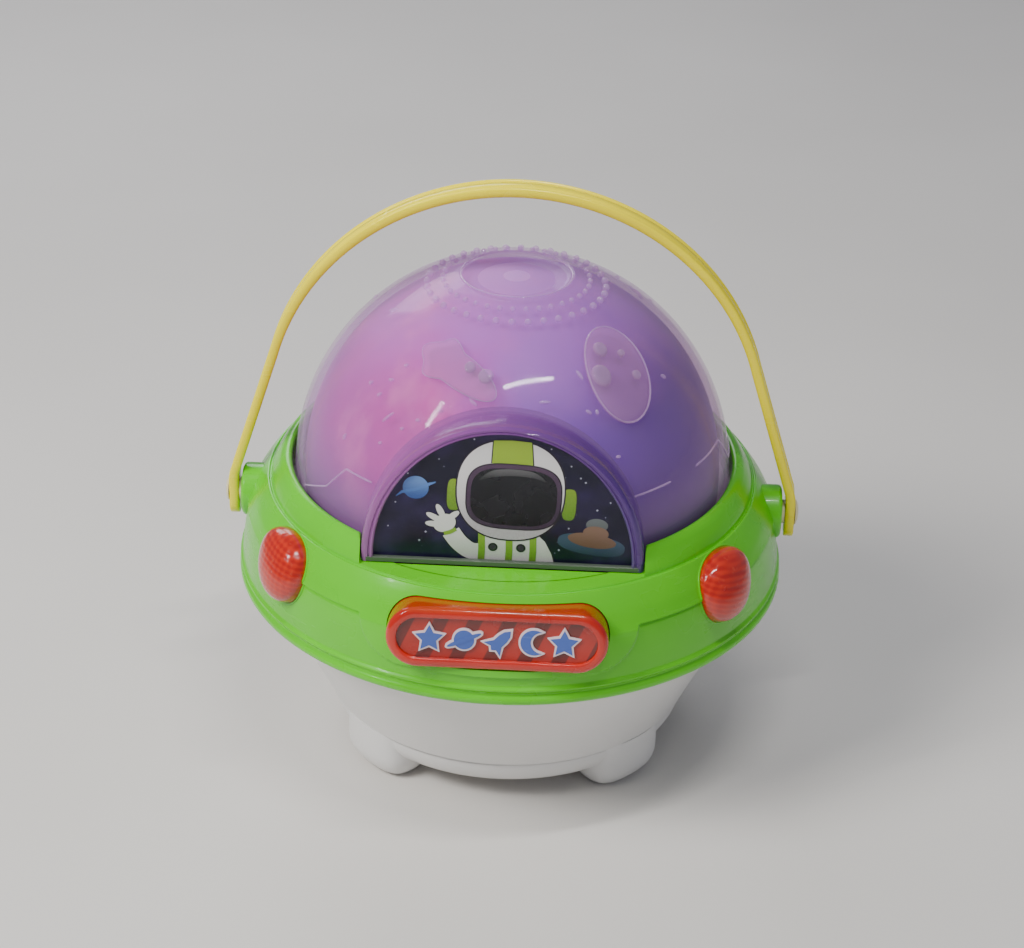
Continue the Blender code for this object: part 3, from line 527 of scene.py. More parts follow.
def lamp_frame(side):
    azimuth = math.radians(side * LAMP_AZIMUTH)
    x = LAMP_RADIUS * math.sin(azimuth)
    y = -LAMP_RADIUS * math.cos(azimuth)
    outward = Vector((x, y, 0.0)).normalized()
    normal = (outward + Vector((0, 0, math.tan(math.radians(LAMP_TILT))))).normalized()
    across = Vector((0, 0, 1)).cross(normal).normalized()
    up = normal.cross(across)
    rows = [[across[i], up[i], normal[i], v] for i, v in enumerate((x, y, LAMP_HEIGHT))]
    return Matrix(rows + [[0, 0, 0, 1]])


def pivot_frame(side):
    """The handle's axis at one side, with its own Z pointing outwards."""
    return Matrix.Translation((0, 0, PIVOT_HEIGHT)) @ Matrix.Rotation(side * math.pi / 2, 4, "Y")


def step_curve(value, width):
    share = np.clip(value / width, 0.0, 1.0)
    return share * share * (3.0 - 2.0 * share)


# ---------------------------------------------------------------- green ring


def ring_line():
    """The ring's section as a closed line of (radius, height), and how many of its points face out."""
    collar = flow([(102.2, 139.6), (102.3, 141.2), (103.2, 142.2), (104.7, 142.4), (106.6, 141.4)], 3)
    collar += flow([(107.9, 139.9), (109.9, 137.0), (111.2, 134.6), (111.7, 133.4)], 5)
    groove = flow([(111.8, 132.6), (112.1, 131.9), (112.7, 131.8), (113.2, 132.3), (113.9, 132.3)], 3)
    flank = flow([(114.8, 131.2), (116.9, 128.4), (120.1, 123.6), (122.7, 118.4)], 8)
    ledge = [(122.75 + 0.13 * i, 118.3 - 0.25 * i) for i in range(11)]
    lower = flow([(124.4, 115.2), (125.8, 109.0), (127.1, 100.0), (127.6, 94.0), (127.4, 92.2)], 8)
    bead = flow([(126.7, 91.2), (126.2, 90.2), (126.7, 89.2)], 3) + arc((125.2, 87.0), 2.6, 46, -84, 12)
    outside = collar + groove + flank + ledge + lower + bead
    inside = [(124.4, 84.7), (124.2, 99.0), (122.4, 109.0), (119.6, 117.0), (115.6, 123.4)]
    inside += [(110.6, 130.0), (102.2, 130.0), (102.2, 135.0)]
    return outside + inside, len(outside)


def saucer_ring(green):
    line, outward = ring_line()
    radius = np.array([p[0] for p in line])
    height = np.array([p[1] for p in line])
    edge = np.arcsin(NOTCH_HALF_WIDTH / radius)
    wall = [(0.0, 132.75), (0.02, 135.0), (0.04, 138.0), (0.08, 140.6)]
    wall += [(0.2, 141.4), (0.5, 142.0), (0.9, 142.3), (1.4, 142.6)]

    columns = [(share * edge, SHELF_HEIGHT) for share in np.linspace(0, 1, 130)]
    columns += [(np.arcsin((NOTCH_HALF_WIDTH + offset) / radius), cap) for offset, cap in wall]
    start = columns[-1][0]
    near = math.radians(72.0)
    columns += [(start + (near - start) * share, UNCAPPED) for share in np.linspace(0, 1, 110)[1:]]
    for share in np.linspace(0, 1, 90)[1:]:
        columns.append((np.full_like(radius, near + (math.pi - near) * share), UNCAPPED))

    half = []
    for azimuth, cap in columns:
        z = np.minimum(height, cap)
        x = radius * np.sin(azimuth)
        y = -radius * np.cos(azimuth)
        end = np.maximum(np.abs(x) - MARGIN_HALF_STRAIGHT, 0.0)
        beside = np.hypot(end, z - BUTTON_CENTRE[2]) - MARGIN_HALF_HEIGHT
        clear_of_button = np.where(y < 0, beside, 50.0)
        sunk = step_curve(LEDGE_HEIGHT - z, 1.0) * step_curve(clear_of_button, 1.3)
        sunk *= step_curve(z - 92.2, 2.0)
        sunk[outward:] = 0.0
        r = radius - RECESS_DEPTH * sunk
        half.append(np.stack([r * np.sin(azimuth), -r * np.cos(azimuth), z], axis=1))
    mirrored = [column * np.array([-1.0, 1.0, 1.0]) for column in half[1:-1][::-1]]
    loops = half + mirrored
    ring = loft("saucer_ring_body", loops, [green], caps=False, closed=True, sharp=50.0)
    surface = BVHTree.FromObject(ring, bpy.context.evaluated_depsgraph_get())

    outline = stadium(BUTTON_WIDTH + 2 * BUTTON_GAP, BUTTON_HEIGHT + 2 * BUTTON_GAP, count=24)
    opening = loft("opening", [[(x, y, z) for x, z in outline] for y in (-30.0, 34.0)], [green])
    carve(ring, [moved(opening, button_frame())])

    extras = [ring]
    turns = np.radians(np.linspace(-26.6, 26.6, 41))
    front = [(102.6 * math.sin(a), -102.6 * math.cos(a)) for a in turns]
    back = [(x, -91.2) for x, y in front[::-1]]
    shelf = [[(x, y, SHELF_HEIGHT) for x, y in front + back]]
    shelf.append([(x, y, z - 2.2) for x, y, z in shelf[0]])
    extras.append(loft("shelf", shelf, [green]))
    boss = [(0, 108.0), (12.5, 108.0), (12.5, 124.6)] + arc((10.6, 124.6), 1.9, 0, 90, 7)[1:]
    boss.append((0, 126.5))
    for side in (-1, 1):
        extras.append(moved(lathe("boss", boss, green, 64), pivot_frame(side)))
        extras.append(lamp_seat(side, surface, green))
    return unite("ring_shell", extras)


def drop_outline(side, grow, count=72):
    """The lamp's outline: wide above, drawn in below, its foot leaning to the front."""
    points = []
    for k in range(count):
        angle = 2 * math.pi * k / count
        x = math.copysign(abs(math.cos(angle)) ** 0.92, math.cos(angle))
        y = math.copysign(abs(math.sin(angle)) ** 0.92, math.sin(angle))
        across = (LAMP_HALF_WIDTH + grow) * x * (1.0 + 0.12 * y) + side * 2.5 * y
        points.append((across, (LAMP_HALF_HEIGHT + grow) * y))
    return points


def lamp_seat(side, surface, green):
    """A fine bead on the ring round the lamp."""
    place = lamp_frame(side)
    inward = -(place.to_3x3() @ Vector((0, 0, 1)))
    points = []
    for x, y in drop_outline(side, 0.5):
        start = place @ Vector((x, y, 20.0))
        hit = surface.ray_cast(start * MM, inward)[0]
        points.append(hit / MM)
    return tube("lamp_seat", points, 0.55, green, closed=True)


# ---------------------------------------------------------------- white base


def base_shell(white):
    inner = [(0, 11.7), (70.6, 11.7)] + arc((71.5, 23.5), 11.8, -80, -6, 8) + [(111.8, 86.6)]
    rim = [(123.4, 86.6), (123.4, 84.6), (114.2, 84.6)]
    wall = flow([(113.9, 84.0), (107.2, 69.0), (100.4, 54.0), (93.6, 39.4), (88.0, 27.2)], 5)
    stop = [(87.7, 26.5), (87.5, 25.9), (86.9, 25.4), (85.6, 25.1), (85.0, 24.7), (85.0, 24.2)]
    bottom = arc((71.5, 23.5), 14.0, 0, -90, 16) + [(0, 9.5)]
    base = lathe("base_shell", inner + rim + wall + stop + bottom, white, 144, 30.0)
    carve(base, [foot(azimuth, white) for azimuth in FOOT_AZIMUTHS], "UNION")
    holes = [box_cutter((53.8, 60.8, 8), (0, 0, 10.6)), box_cutter((14.8, 12.0, 8), (0, 35.0, 10.6))]
    holes.append(box_cutter((5.0, 11.0, 8), (-50.0, 2.5, 10.6)))
    turns = [math.radians(60 * i) for i in range(6)]
    for x, y in [(0.0, 0.0)] + [(8 * math.cos(a), 8 * math.sin(a)) for a in turns]:
        rod = lathe("grille_hole", [(0, 6.0), (2.0, 6.0), (2.0, 15.0), (0, 15.0)], white, 20)
        holes.append(moved(rod, Matrix.Translation((SPEAKER_X + x, y, 0))))
    carve(base, holes)
    return base


def foot(azimuth, white):
    """A foot, round on its inner side and following the base's own outline on its outer side."""
    a = math.radians(azimuth)
    away = Vector((math.sin(a), -math.cos(a)))
    start = away * 70.0
    middle = away * FOOT_CIRCLE
    loops = []
    rounding = FOOT_ROUNDING * (1.0 - np.cos(np.linspace(0, math.pi / 2, 12)))
    for z in list(rounding) + [14.0, 18.0, 22.0, 26.0]:
        left = max(FOOT_ROUNDING - z, 0.0)
        inset = FOOT_ROUNDING - math.sqrt(FOOT_ROUNDING**2 - left**2)
        loop = []
        for k in range(64):
            d = Vector((math.cos(math.pi * k / 32), math.sin(math.pi * k / 32)))
            near = reach_to(start - middle, d, FOOT_RADIUS - 0.72 * inset)
            far = reach_to(start, d, BASE_LIMIT_RADIUS - 0.8 * inset)
            share = min(max(0.5 + 0.5 * (far - near) / FOOT_BLEND, 0.0), 1.0)
            reach = far * (1.0 - share) + near * share - FOOT_BLEND * share * (1.0 - share)
            loop.append((start.x + d.x * reach, start.y + d.y * reach, z))
        loops.append(loop)
    return loft("foot", loops, [white])


def reach_to(start, along, radius):
    """How far it is, along a direction, from a start point to a circle about the origin."""
    half = start.dot(along)
    return -half + math.sqrt(half * half - start.length_squared + radius * radius)


def box_cutter(size, middle):
    x, y, z = (s / 2 for s in size)
    outline = [(-x, -y), (x, -y), (x, y), (-x, y)]
    material = bpy.data.materials[0]
    solid = loft("cutter", [[(a, b, c) for a, b in outline] for c in (-z, z)], [material])
    return moved(solid, Matrix.Translation(middle))


# ---------------------------------------------------------------- dome


def on_dome(azimuth, elevation, out=0.0):
    """The point of the dome at an azimuth from the front and an elevation, in degrees."""
    a, e = math.radians(azimuth), math.radians(elevation)
    r = DOME_RADIUS + out
    flat = r * math.cos(e)
    return Vector((flat * math.sin(a), -flat * math.cos(a), DOME_CENTRE + r * math.sin(e)))


def dome_arc(radius, start, end, count):
    """A dome's section between two elevations, as (radius, height)."""
    return arc((0.0, DOME_CENTRE), radius, start, end, count)


def arch_loop(half_width, rise, y, foot, count=48):
    turns = np.linspace(0, math.pi, count)
    top = [(half_width * math.cos(a), y, WINDOW_SILL + rise * math.sin(a)) for a in turns]
    return [(half_width, y, foot)] + top + [(-half_width, y, foot)]


def dome_shell(clear):
    """The clear dome, with a shallow dish at its top."""
    dish = flow([(21.0, 231.3), (23.6, 231.5), (25.0, 232.2), (26.2, 232.7)], 4)
    outer = [(0, 231.2), (10.0, 231.2)] + dish
    outer += dome_arc(DOME_RADIUS, 74.2, 0, 56)
    outer += [(DOME_RADIUS, 130.4), (99.4, 130.4)]
    inner = dome_arc(99.4, 0, 74.6, 30)
    inner += [(22.0, 229.8), (0, 229.7)]
    dome = lathe("clear_dome", outer + inner, clear, 160)
    cutter = loft("arch_cutter", [arch_loop(60.4, 64.9, y, 100.0) for y in (-150.0, -50.0)], [clear])
    return carve(dome, [cutter])


def dormer(clear):
    """The window's hood: an arch standing forward of the dome, with a bead round its opening."""
    section = [
        (61.9, 65.6, -60.0), (61.9, 65.6, -74.0), (61.9, 65.6, -88.6), (61.4, 65.3, -90.0),
        (60.4, 64.7, -90.8), (59.0, 64.2, -90.9), (58.6, 63.9, -90.3), (58.2, 63.6, -90.3),
        (57.8, 63.4, -90.9), (57.2, 63.0, -91.0), (56.7, 62.7, -90.7), (56.5, 62.5, -90.0),
        (56.5, 62.5, -88.9), (58.8, 64.0, -88.7), (58.9, 64.1, -74.0), (58.9, 64.1, -60.0),
    ]
    lines = [arch_loop(a, b, y, WINDOW_FOOT) for a, b, y in section]
    loops = [[line[k] for line in lines] for k in range(len(lines[0]))]
    return loft("window_hood", loops, [clear], sharp=60.0)


def sill_bar(clear):
    outline = [(-91.0, 133.3), (-90.8, WINDOW_FOOT), (-88.9, WINDOW_FOOT)]
    outline += [(-88.9, WINDOW_SILL), (-90.6, WINDOW_SILL), (-91.0, 135.2)]
    loops = [[(x, y, z) for y, z in outline] for x in (-59.6, 59.6)]
    return loft("window_sill", loops, [clear])


def dome_loop(azimuth, elevation, turn, outline, share, rise, count):
    """A closed loop round a spot on the dome. outline gives its reach for each angle."""
    middle = Vector((0, 0, DOME_CENTRE))
    centre = on_dome(azimuth, elevation) - middle
    out = centre.normalized()
    across = Vector((0, 0, 1)).cross(out).normalized()
    up = out.cross(across)
    loop = []
    for k in range(count):
        angle = 2 * math.pi * k / count
        reach = outline(angle) * share
        u = reach * math.cos(angle + turn)
        v = reach * math.sin(angle + turn)
        direction = (centre + across * u + up * v).normalized()
        loop.append(tuple(direction * (DOME_RADIUS + rise) + middle))
    return loop


def emboss(name, azimuth, elevation, turn, outline, height, material, rings=7, edge=0.84):
    """A raised shape that hugs the dome."""
    shares = [1.0] + list(np.linspace(1.0, edge, 4)) + list(np.linspace(edge, 0.02, rings))[1:]
    rises = [-0.5, -0.1, 0.55 * height, 0.9 * height, height] + [height] * (rings - 1)
    spot = (azimuth, elevation, turn, outline)
    loops = [dome_loop(*spot, share, rise, 72) for share, rise in zip(shares, rises)]
    return loft(name, loops, [material], sharp=70.0)


def dome_line(azimuth, elevation, turn, outline, out, radius, material):
    """A thin raised line round a shape on the dome."""
    points = dome_loop(azimuth, elevation, turn, outline, 1.0, out, 80)
    return tube("dome_line", points, radius, material, closed=True)


def oval(a, b):
    return lambda angle: a * b / math.hypot(b * math.cos(angle), a * math.sin(angle))


def dot_rings(material):
    """Two rings of small round studs about the dome's top, made as a node tree and then baked."""
    tree = bpy.data.node_groups.new("stud_ring", "GeometryNodeTree")
    tree.interface.new_socket("Geometry", in_out="OUTPUT", socket_type="NodeSocketGeometry")
    names = {}
    for label in ("Count", "Ring Radius", "Height", "Stud Radius"):
        kind = "NodeSocketInt" if label == "Count" else "NodeSocketFloat"
        names[label] = tree.interface.new_socket(label, in_out="INPUT", socket_type=kind).identifier

    def add(kind, **inputs):
        """A node whose inputs are linked to outputs of other nodes."""
        node = tree.nodes.new(kind)
        for label, output in inputs.items():
            tree.links.new(output, node.inputs[label])
        return node

    given = add("NodeGroupInput").outputs
    circle = add("GeometryNodeMeshCircle", Vertices=given["Count"], Radius=given["Ring Radius"])
    lift = add("ShaderNodeCombineXYZ", Z=given["Height"])
    shift = add("GeometryNodeTransform", Geometry=circle.outputs[0], Translation=lift.outputs[0])
    stud = add("GeometryNodeMeshIcoSphere", Radius=given["Stud Radius"])
    stud.inputs["Subdivisions"].default_value = 3
    spread = add("GeometryNodeInstanceOnPoints", Points=shift.outputs[0], Instance=stud.outputs[0])
    real = add("GeometryNodeRealizeInstances", Geometry=spread.outputs[0])
    paint = add("GeometryNodeSetMaterial", Geometry=real.outputs[0])
    paint.inputs["Material"].default_value = material
    add("NodeGroupOutput", Geometry=paint.outputs[0])
    rings = []
    for elevation, size in ((70.8, 1.25), (66.4, 1.6)):
        spot = on_dome(90.0, elevation, -0.35)
        values = {"Count": 36, "Ring Radius": spot.x * MM, "Height": spot.z * MM}
        values["Stud Radius"] = size * MM
        rings.append(grown(tree, names, values, material))
    return unite("dome_studs", rings)


def grown(tree, names, values, material):
    """Runs a node tree once with its inputs set and keeps the plain mesh."""
    holder = bpy.data.objects.new("grown", bpy.data.meshes.new("grown"))
    bpy.context.scene.collection.objects.link(holder)
    step = holder.modifiers.new("grow", "NODES")
    step.node_group = tree
    for label, value in values.items():
        step[names[label]] = value
    bpy.context.view_layer.update()
    graph = bpy.context.evaluated_depsgraph_get()
    mesh = bpy.data.meshes.new_from_object(holder.evaluated_get(graph))
    holder.modifiers.clear()
    holder.data = mesh
    if not mesh.materials:
        mesh.materials.append(material)
    return holder


def inner_dome(milky):
    profile = dome_arc(INNER_DOME_RADIUS, 90, 0, 56)
    profile[0] = (0, profile[0][1])
    profile += [(INNER_DOME_RADIUS, 127.6), (95.0, 127.6)]
    inner = dome_arc(95.0, 0, 90, 24)
    inner[-1] = (0, inner[-1][1])
    dome = lathe("milky_dome_shell", profile + inner, milky, 144)
    outline = [(-150, -200), (150, -200), (150, -86.5), (-150, -86.5)]
    cutter = loft("front_cutter", [[(x, y, z) for x, y in outline] for z in (100.0, 260.0)], [milky])
    return carve(dome, [cutter])


# ---------------------------------------------------------------- picture


def decal(outline, layer, material):
    """A flat printed shape in the window's plane. Higher layers lie nearer the front."""
    y = -88.3 - 0.03 * layer
    loops = [[(x, depth, z) for x, z in outline] for depth in (y, y + 0.025)]
    return loft("decal", loops, [material], sharp=20.0)


def ellipse(cx, cz, a, b, turn=0.0, power=1.0, count=48):
    points = []
    for k in range(count):
        t = 2 * math.pi * k / count
        u = a * math.copysign(abs(math.cos(t)) ** power, math.cos(t))
        v = b * math.copysign(abs(math.sin(t)) ** power, math.sin(t))
        c, s = math.cos(math.radians(turn)), math.sin(math.radians(turn))
        points.append((cx + u * c - v * s, cz + u * s + v * c))
    return points


def star_shape(size, waist=0.5, tips=5, start=math.pi / 2):
    points = []
    for k in range(2 * tips):
        reach = size if k % 2 == 0 else size * waist
        angle = start + k * math.pi / tips
        points.append((reach * math.cos(angle), reach * math.sin(angle)))
    return points


def ribbon(points, widths):
    """A band of changing width along a line."""
    left, right = [], []
    for i, (x, z) in enumerate(points):
        a = points[max(i - 1, 0)]
        b = points[min(i + 1, len(points) - 1)]
        along = Vector((b[0] - a[0], b[1] - a[1])).normalized()
        w = widths[i] / 2
        left.append((x - along.y * w, z + along.x * w))
        right.append((x + along.y * w, z - along.x * w))
    return left + right[::-1]


def picture():
    sky = night_sky()
    outline_ink = printed("outline_ink", (0.02, 0.016, 0.022), (0.03, 0.02, 0.03), 130, 200)
    suit = printed("suit_white", (0.50, 0.47, 0.42), (0.86, 0.84, 0.76), 132, 152)
    helmet = printed("helmet_white", (0.52, 0.46, 0.47), (0.90, 0.88, 0.80), 148, 176)
    visor_edge = printed("visor_edge", (0.05, 0.03, 0.055), (0.10, 0.055, 0.095), 150, 184)
    visor_dark = printed("visor_dark", (0.003, 0.003, 0.004), (0.010, 0.011, 0.012), 152, 178, 2, 0.3)
    shine = printed("visor_shine", (0.010, 0.011, 0.012), (0.16, 0.16, 0.15), 174, 182)
    green = printed("suit_green", (0.10, 0.26, 0.015), (0.36, 0.55, 0.035), 150, 192)
    strap = printed("strap_green", (0.10, 0.22, 0.02), (0.25, 0.44, 0.04), 132, 148)
    planet = printed("planet_blue", (0.03, 0.08, 0.30), (0.16, 0.32, 0.66), 164, 175)
    halo = printed("planet_ring", (0.05, 0.13, 0.40), (0.13, 0.28, 0.62), 163, 174)
    hull = printed("saucer_hull", (0.02, 0.03, 0.06), (0.05, 0.09, 0.14), 137, 148)
    deck = printed("saucer_deck", (0.16, 0.08, 0.05), (0.26, 0.15, 0.10), 143, 153)
    cab = printed("saucer_cab", (0.10, 0.11, 0.11), (0.17, 0.19, 0.18), 150, 158)
    star = printed("star_white", (0.55, 0.55, 0.70), (0.8, 0.8, 0.9), 130, 200)

    pieces = []

    def add(outline, layer, ink):
        pieces.append(decal(outline, layer, ink))

    def edged(shape, rim, layer, ink):
        """An oval with a dark edge round it."""
        x, z, a, b, *rest = shape
        add(ellipse(x, z, a + rim, b + rim, *rest), layer, outline_ink)
        add(ellipse(*shape), layer + 1, ink)

    arch = [(x, z) for x, _, z in arch_loop(58.2, 63.8, 0.0, 133.4)]
    add(arch, 0, sky)
    add(ellipse(-38.0, 169.6, 5.6, 5.6), 1, planet)
    swirl = [(-46.6, 165.0), (-44.0, 167.2), (-38.0, 168.6), (-32.4, 171.4), (-29.4, 172.6)]
    add(ribbon(swirl, [0.4, 1.3, 1.5, 1.4, 0.5]), 2, halo)
    add(ellipse(38.6, 144.6, 14.8, 5.0, -8.0, 0.8), 1, hull)
    add(ellipse(38.8, 146.8, 10.6, 3.6, -8.0), 2, deck)
    add(ellipse(40.4, 150.6, 5.6, 3.4, -6.0), 3, deck)
    add(ellipse(40.8, 154.6, 4.8, 3.2, -4.0), 2, cab)
    for x, z, r in (
        (-13.0, 194.3, 0.5), (-41.4, 176.4, 0.5), (-46.8, 162.0, 0.5), (-33.6, 147.8, 0.65),
        (-36.4, 143.4, 0.6), (28.6, 152.4, 0.5), (33.0, 177.4, 0.5), (35.2, 175.4, 0.6),
        (28.8, 183.0, 0.45), (40.6, 162.0, 0.6), (24.6, 141.4, 0.6), (46.2, 166.0, 0.5),
        (-28.0, 184.0, 0.35), (20.0, 191.0, 0.4), (-50.0, 150.0, 0.4),
    ):
        add([(x + u, z + v) for u, v in star_shape(r, 0.45, 4, 0.0)], 2, star)

    body = [(-12.6, 133.4), (-12.2, 139.0), (-10.4, 144.6), (-6.0, 149.0)]
    body += [(14.0, 149.6), (18.4, 145.2), (21.4, 139.0), (22.8, 133.4)]
    edge = [(x * 1.03 - 0.1, z + 0.5 if z > 134 else z) for x, z in body]
    add(edge, 2, outline_ink)
    add(body, 3, suit)
    arm = flow([(-9.6, 139.0), (-14.2, 139.4), (-19.0, 143.2), (-22.6, 148.4)], 4)
    add(ribbon(arm, [9.2] * len(arm)), 4, outline_ink)
    add(ribbon(arm, [8.2] * len(arm)), 5, suit)
    add(ellipse(-25.4, 152.6, 5.6, 4.8, 35.0), 4, outline_ink)
    add(ellipse(-25.4, 152.6, 5.1, 4.3, 35.0), 6, suit)
    fingers = [(-30.4, 152.0, 175, 3.4), (-30.0, 155.4, 150, 3.8)]
    fingers += [(-27.2, 158.4, 115, 3.8), (-21.6, 156.6, 40, 3.2)]
    for x, z, turn, length in fingers:
        add(ellipse(x, z, length + 0.4, 1.75, turn), 4, outline_ink)
        add(ellipse(x, z, length, 1.4, turn), 7, suit)
    cuff = [(-25.6, 147.4), (-23.0, 148.2), (-20.4, 149.9)]
    add(ribbon(cuff, [1.9, 2.0, 1.9]), 8, strap)
    for x in (-9.4, 2.6, 13.0):
        band = [(x, 133.4), (x + 0.3, 140.0), (x + 0.2, 148.4)]
        add(ribbon(band, [3.0, 3.0, 3.0]), 6, strap)
    for x in (-4.2, 8.0):
        edged((x, 141.6, 1.3, 1.3), 0.8, 6, visor_edge)

    for x, z in ((-21.4, 167.0), (28.4, 164.2)):
        edged((x, z, 3.0, 7.7, -2.0, 0.6), 0.5, 6, green)
    edged((3.0, 170.0, 23.2, 24.3, -2.0, 0.86), 0.7, 8, helmet)
    band = [(-5.2, 183.2), (-4.6, 194.2), (3.4, 194.5), (11.6, 193.9), (12.4, 182.8)]
    add([(3.5 + (x - 3.5) * 1.06, z) for x, z in band], 10, outline_ink)
    add(band, 11, green)
    edged((4.4, 167.0, 20.3, 15.7, -2.0, 0.62), 0.6, 12, visor_edge)
    add(ellipse(4.4, 166.8, 18.7, 14.0, -2.0, 0.62), 14, visor_dark)
    gleam = flow([(-10.6, 174.6), (-5.0, 178.0), (4.0, 179.0), (13.0, 178.0), (18.4, 174.8)], 5)
    widths = list(np.interp(np.linspace(0, 1, len(gleam)), [0, 0.3, 0.7, 1], [0.5, 3.4, 3.0, 0.5]))
    add(ribbon(gleam, widths), 15, shine)
    return unite("picture_print", pieces)


# ---------------------------------------------------------------- button, lamps, handle


def button_cap(red, striped):
    rings = [(2.4, 2.7), (2.2, 20.0), (0.0, 20.0), (0.0, 3.0), (0.15, 1.7)]
    rings += [(0.7, 0.7), (1.6, 0.15), (2.6, 0.0), (3.9, 0.0)]
    rings += [(4.3, 0.12), (4.6, 0.45), (4.75, 1.0), (4.9, 1.5), (5.4, 1.6)]
    loops = []
    for inset, depth in rings:
        loops.append([(x, depth, z) for x, z in stadium(BUTTON_WIDTH, BUTTON_HEIGHT, inset)])
    slots = [0] * (len(rings) - 3) + [1, 1]
    cap = loft("button_cap", loops, [red, striped], slots=slots, sharp=50.0)
    return moved(cap, button_frame())


def swell(outline, grow):
    """An outline moved outwards all round, with its sharp corners held back."""
    area = sum(a[0] * b[1] - b[0] * a[1] for a, b in zip(outline, outline[1:] + outline[:1]))
    side = math.copysign(1.0, area)
    points = []
    for i, point in enumerate(outline):
        before = Vector(point) - Vector(outline[i - 1])
        after = Vector(outline[(i + 1) % len(outline)]) - Vector(point)
        first = Vector((before.y, -before.x)).normalized() * side
        second = Vector((after.y, -after.x)).normalized() * side
        out = (first + second).normalized()
        points.append(tuple(Vector(point) + out * (grow / max(out.dot(first), 0.6))))
    return points


def pictogram(outline, x, layer, blue, white):
    """A blue shape with a white border, standing on the button's face."""
    pieces = []
    for grow, depth, material in ((0.85, 0.62, white), (0.0, 0.4, blue)):
        shape = swell(outline, grow) if grow else outline
        front = depth - 0.06 * layer
        loops = [[(u + x, d, v) for u, v in shape] for d in (front, 1.65)]
        pieces.append(moved(loft("pictogram", loops, [material], sharp=20.0), button_frame()))
    return pieces


def emblem(blue, white):
    planet = ellipse(0, 0, 4.4, 4.4, count=36)
    orbit = ellipse(0, 0, 8.0, 1.1, 24.0, count=36)
    crescent = arc((0, 0), 5.8, 62, 298, 28) + arc((3.6, 0), 5.0, 268, 92, 20)
    craft = [(0, 6.6), (1.7, 4.4), (2.3, 1.6), (2.3, -1.4), (4.8, -5.2), (1.6, -4.2), (0, -5.6)]
    craft += [(-x, z) for x, z in craft[-2:0:-1]]
    c, s = math.cos(-0.75), math.sin(-0.75)
    craft = [(x * c - z * s, x * s + z * c) for x, z in craft]
    star = star_shape(6.3)
    marks = [(star, -29.0, 0), (planet, -14.0, 0), (orbit, -14.0, 3)]
    marks += [(craft, 1.5, 0), (crescent, 16.0, 0), (star, 29.0, 0)]
    pieces = []
    for outline, x, layer in marks:
        pieces += pictogram(outline, x, layer, blue, white)
    return unite("button_pictograms", pieces)


def lamp_lens(side, red):
    loops = [[(x, y, -6.0) for x, y in drop_outline(side, -1.0)]]
    loops.append([(x, y, -6.0) for x, y in drop_outline(side, 0.2)])
    for turn in list(np.linspace(0.0, 0.4, 6)) + list(np.linspace(0.48, math.pi / 2 - 0.04, 18)):
        share = math.cos(turn) ** 0.8
        rise = LAMP_RISE * math.sin(turn) ** 0.9
        shift = 1.5 * (1.0 - share)
        loops.append([(x * share, y * share + shift, rise - 1.4) for x, y in drop_outline(side, 0.2)])
    return moved(loft("lamp_lens", loops, [red], sharp=70.0), lamp_frame(side))


def strap_line():
    """The middle of the handle's strap as (x, height above the pivot), left end to right end."""
    low = [(-130.55, z) for z in (-12.0, -8.0, 0.0, 6.0)] + [(-130.1, 10.4), (-129.0, 14.0)]
    bow = arc((0.0, STRAP_ARCH_RISE), STRAP_ARCH_RADIUS, 180 - STRAP_SPLAY, 90, 44)
    x, z = bow[0]
    for share in (0.2, 0.4, 0.6, 0.8):
        low.append((-129.0 + (x + 129.0) * share, 14.0 + (z - 14.0) * share))
    left = flow(low, 4)[:-1] + bow
    return left + [(-x, z) for x, z in left[-2::-1]]


def handle_strap(yellow):
    """A flat strap with raised edges and a rib along its outer face."""
    line = strap_line()
    right = [(5.3, -2.2), (6.0, -1.5), (6.0, 1.4), (5.7, 2.05), (5.2, 2.25), (4.7, 2.05)]
    right += [(4.3, 1.35), (2.7, 1.3), (2.3, 1.6), (1.9, 1.95)]
    section = right + [(-w, t) for w, t in right[::-1]]
    travelled = [0.0]
    for a, b in zip(line, line[1:]):
        travelled.append(travelled[-1] + math.dist(a, b))
    loops = []
    for i, (x, z) in enumerate(line):
        a = line[max(i - 1, 0)]
        b = line[min(i + 1, len(line) - 1)]
        along = Vector((b[0] - a[0], b[1] - a[1])).normalized()
        from_end = min(travelled[i], travelled[-1] - travelled[i])
        short = max(STRAP_END_ROUNDING - from_end, 0.0) / STRAP_END_ROUNDING
        narrow = math.sqrt(max(1.0 - short**2, 0.12))
        up = PIVOT_HEIGHT + z
        loops.append([(x - along.y * t, w * narrow, up + along.x * t) for w, t in section])
    strap = loft("handle_strap", loops, [yellow], sharp=50.0)
    rod = [(0, 120.0), (PIN_HOLE_RADIUS, 120.0), (PIN_HOLE_RADIUS, 140.0), (0, 140.0)]
    carve(strap, [moved(lathe("pin_hole", rod, yellow, 32), pivot_frame(side)) for side in (-1, 1)])
    soften(strap, 50.0)
    return strap


# ---------------------------------------------------------------- materials of the CAD nodes

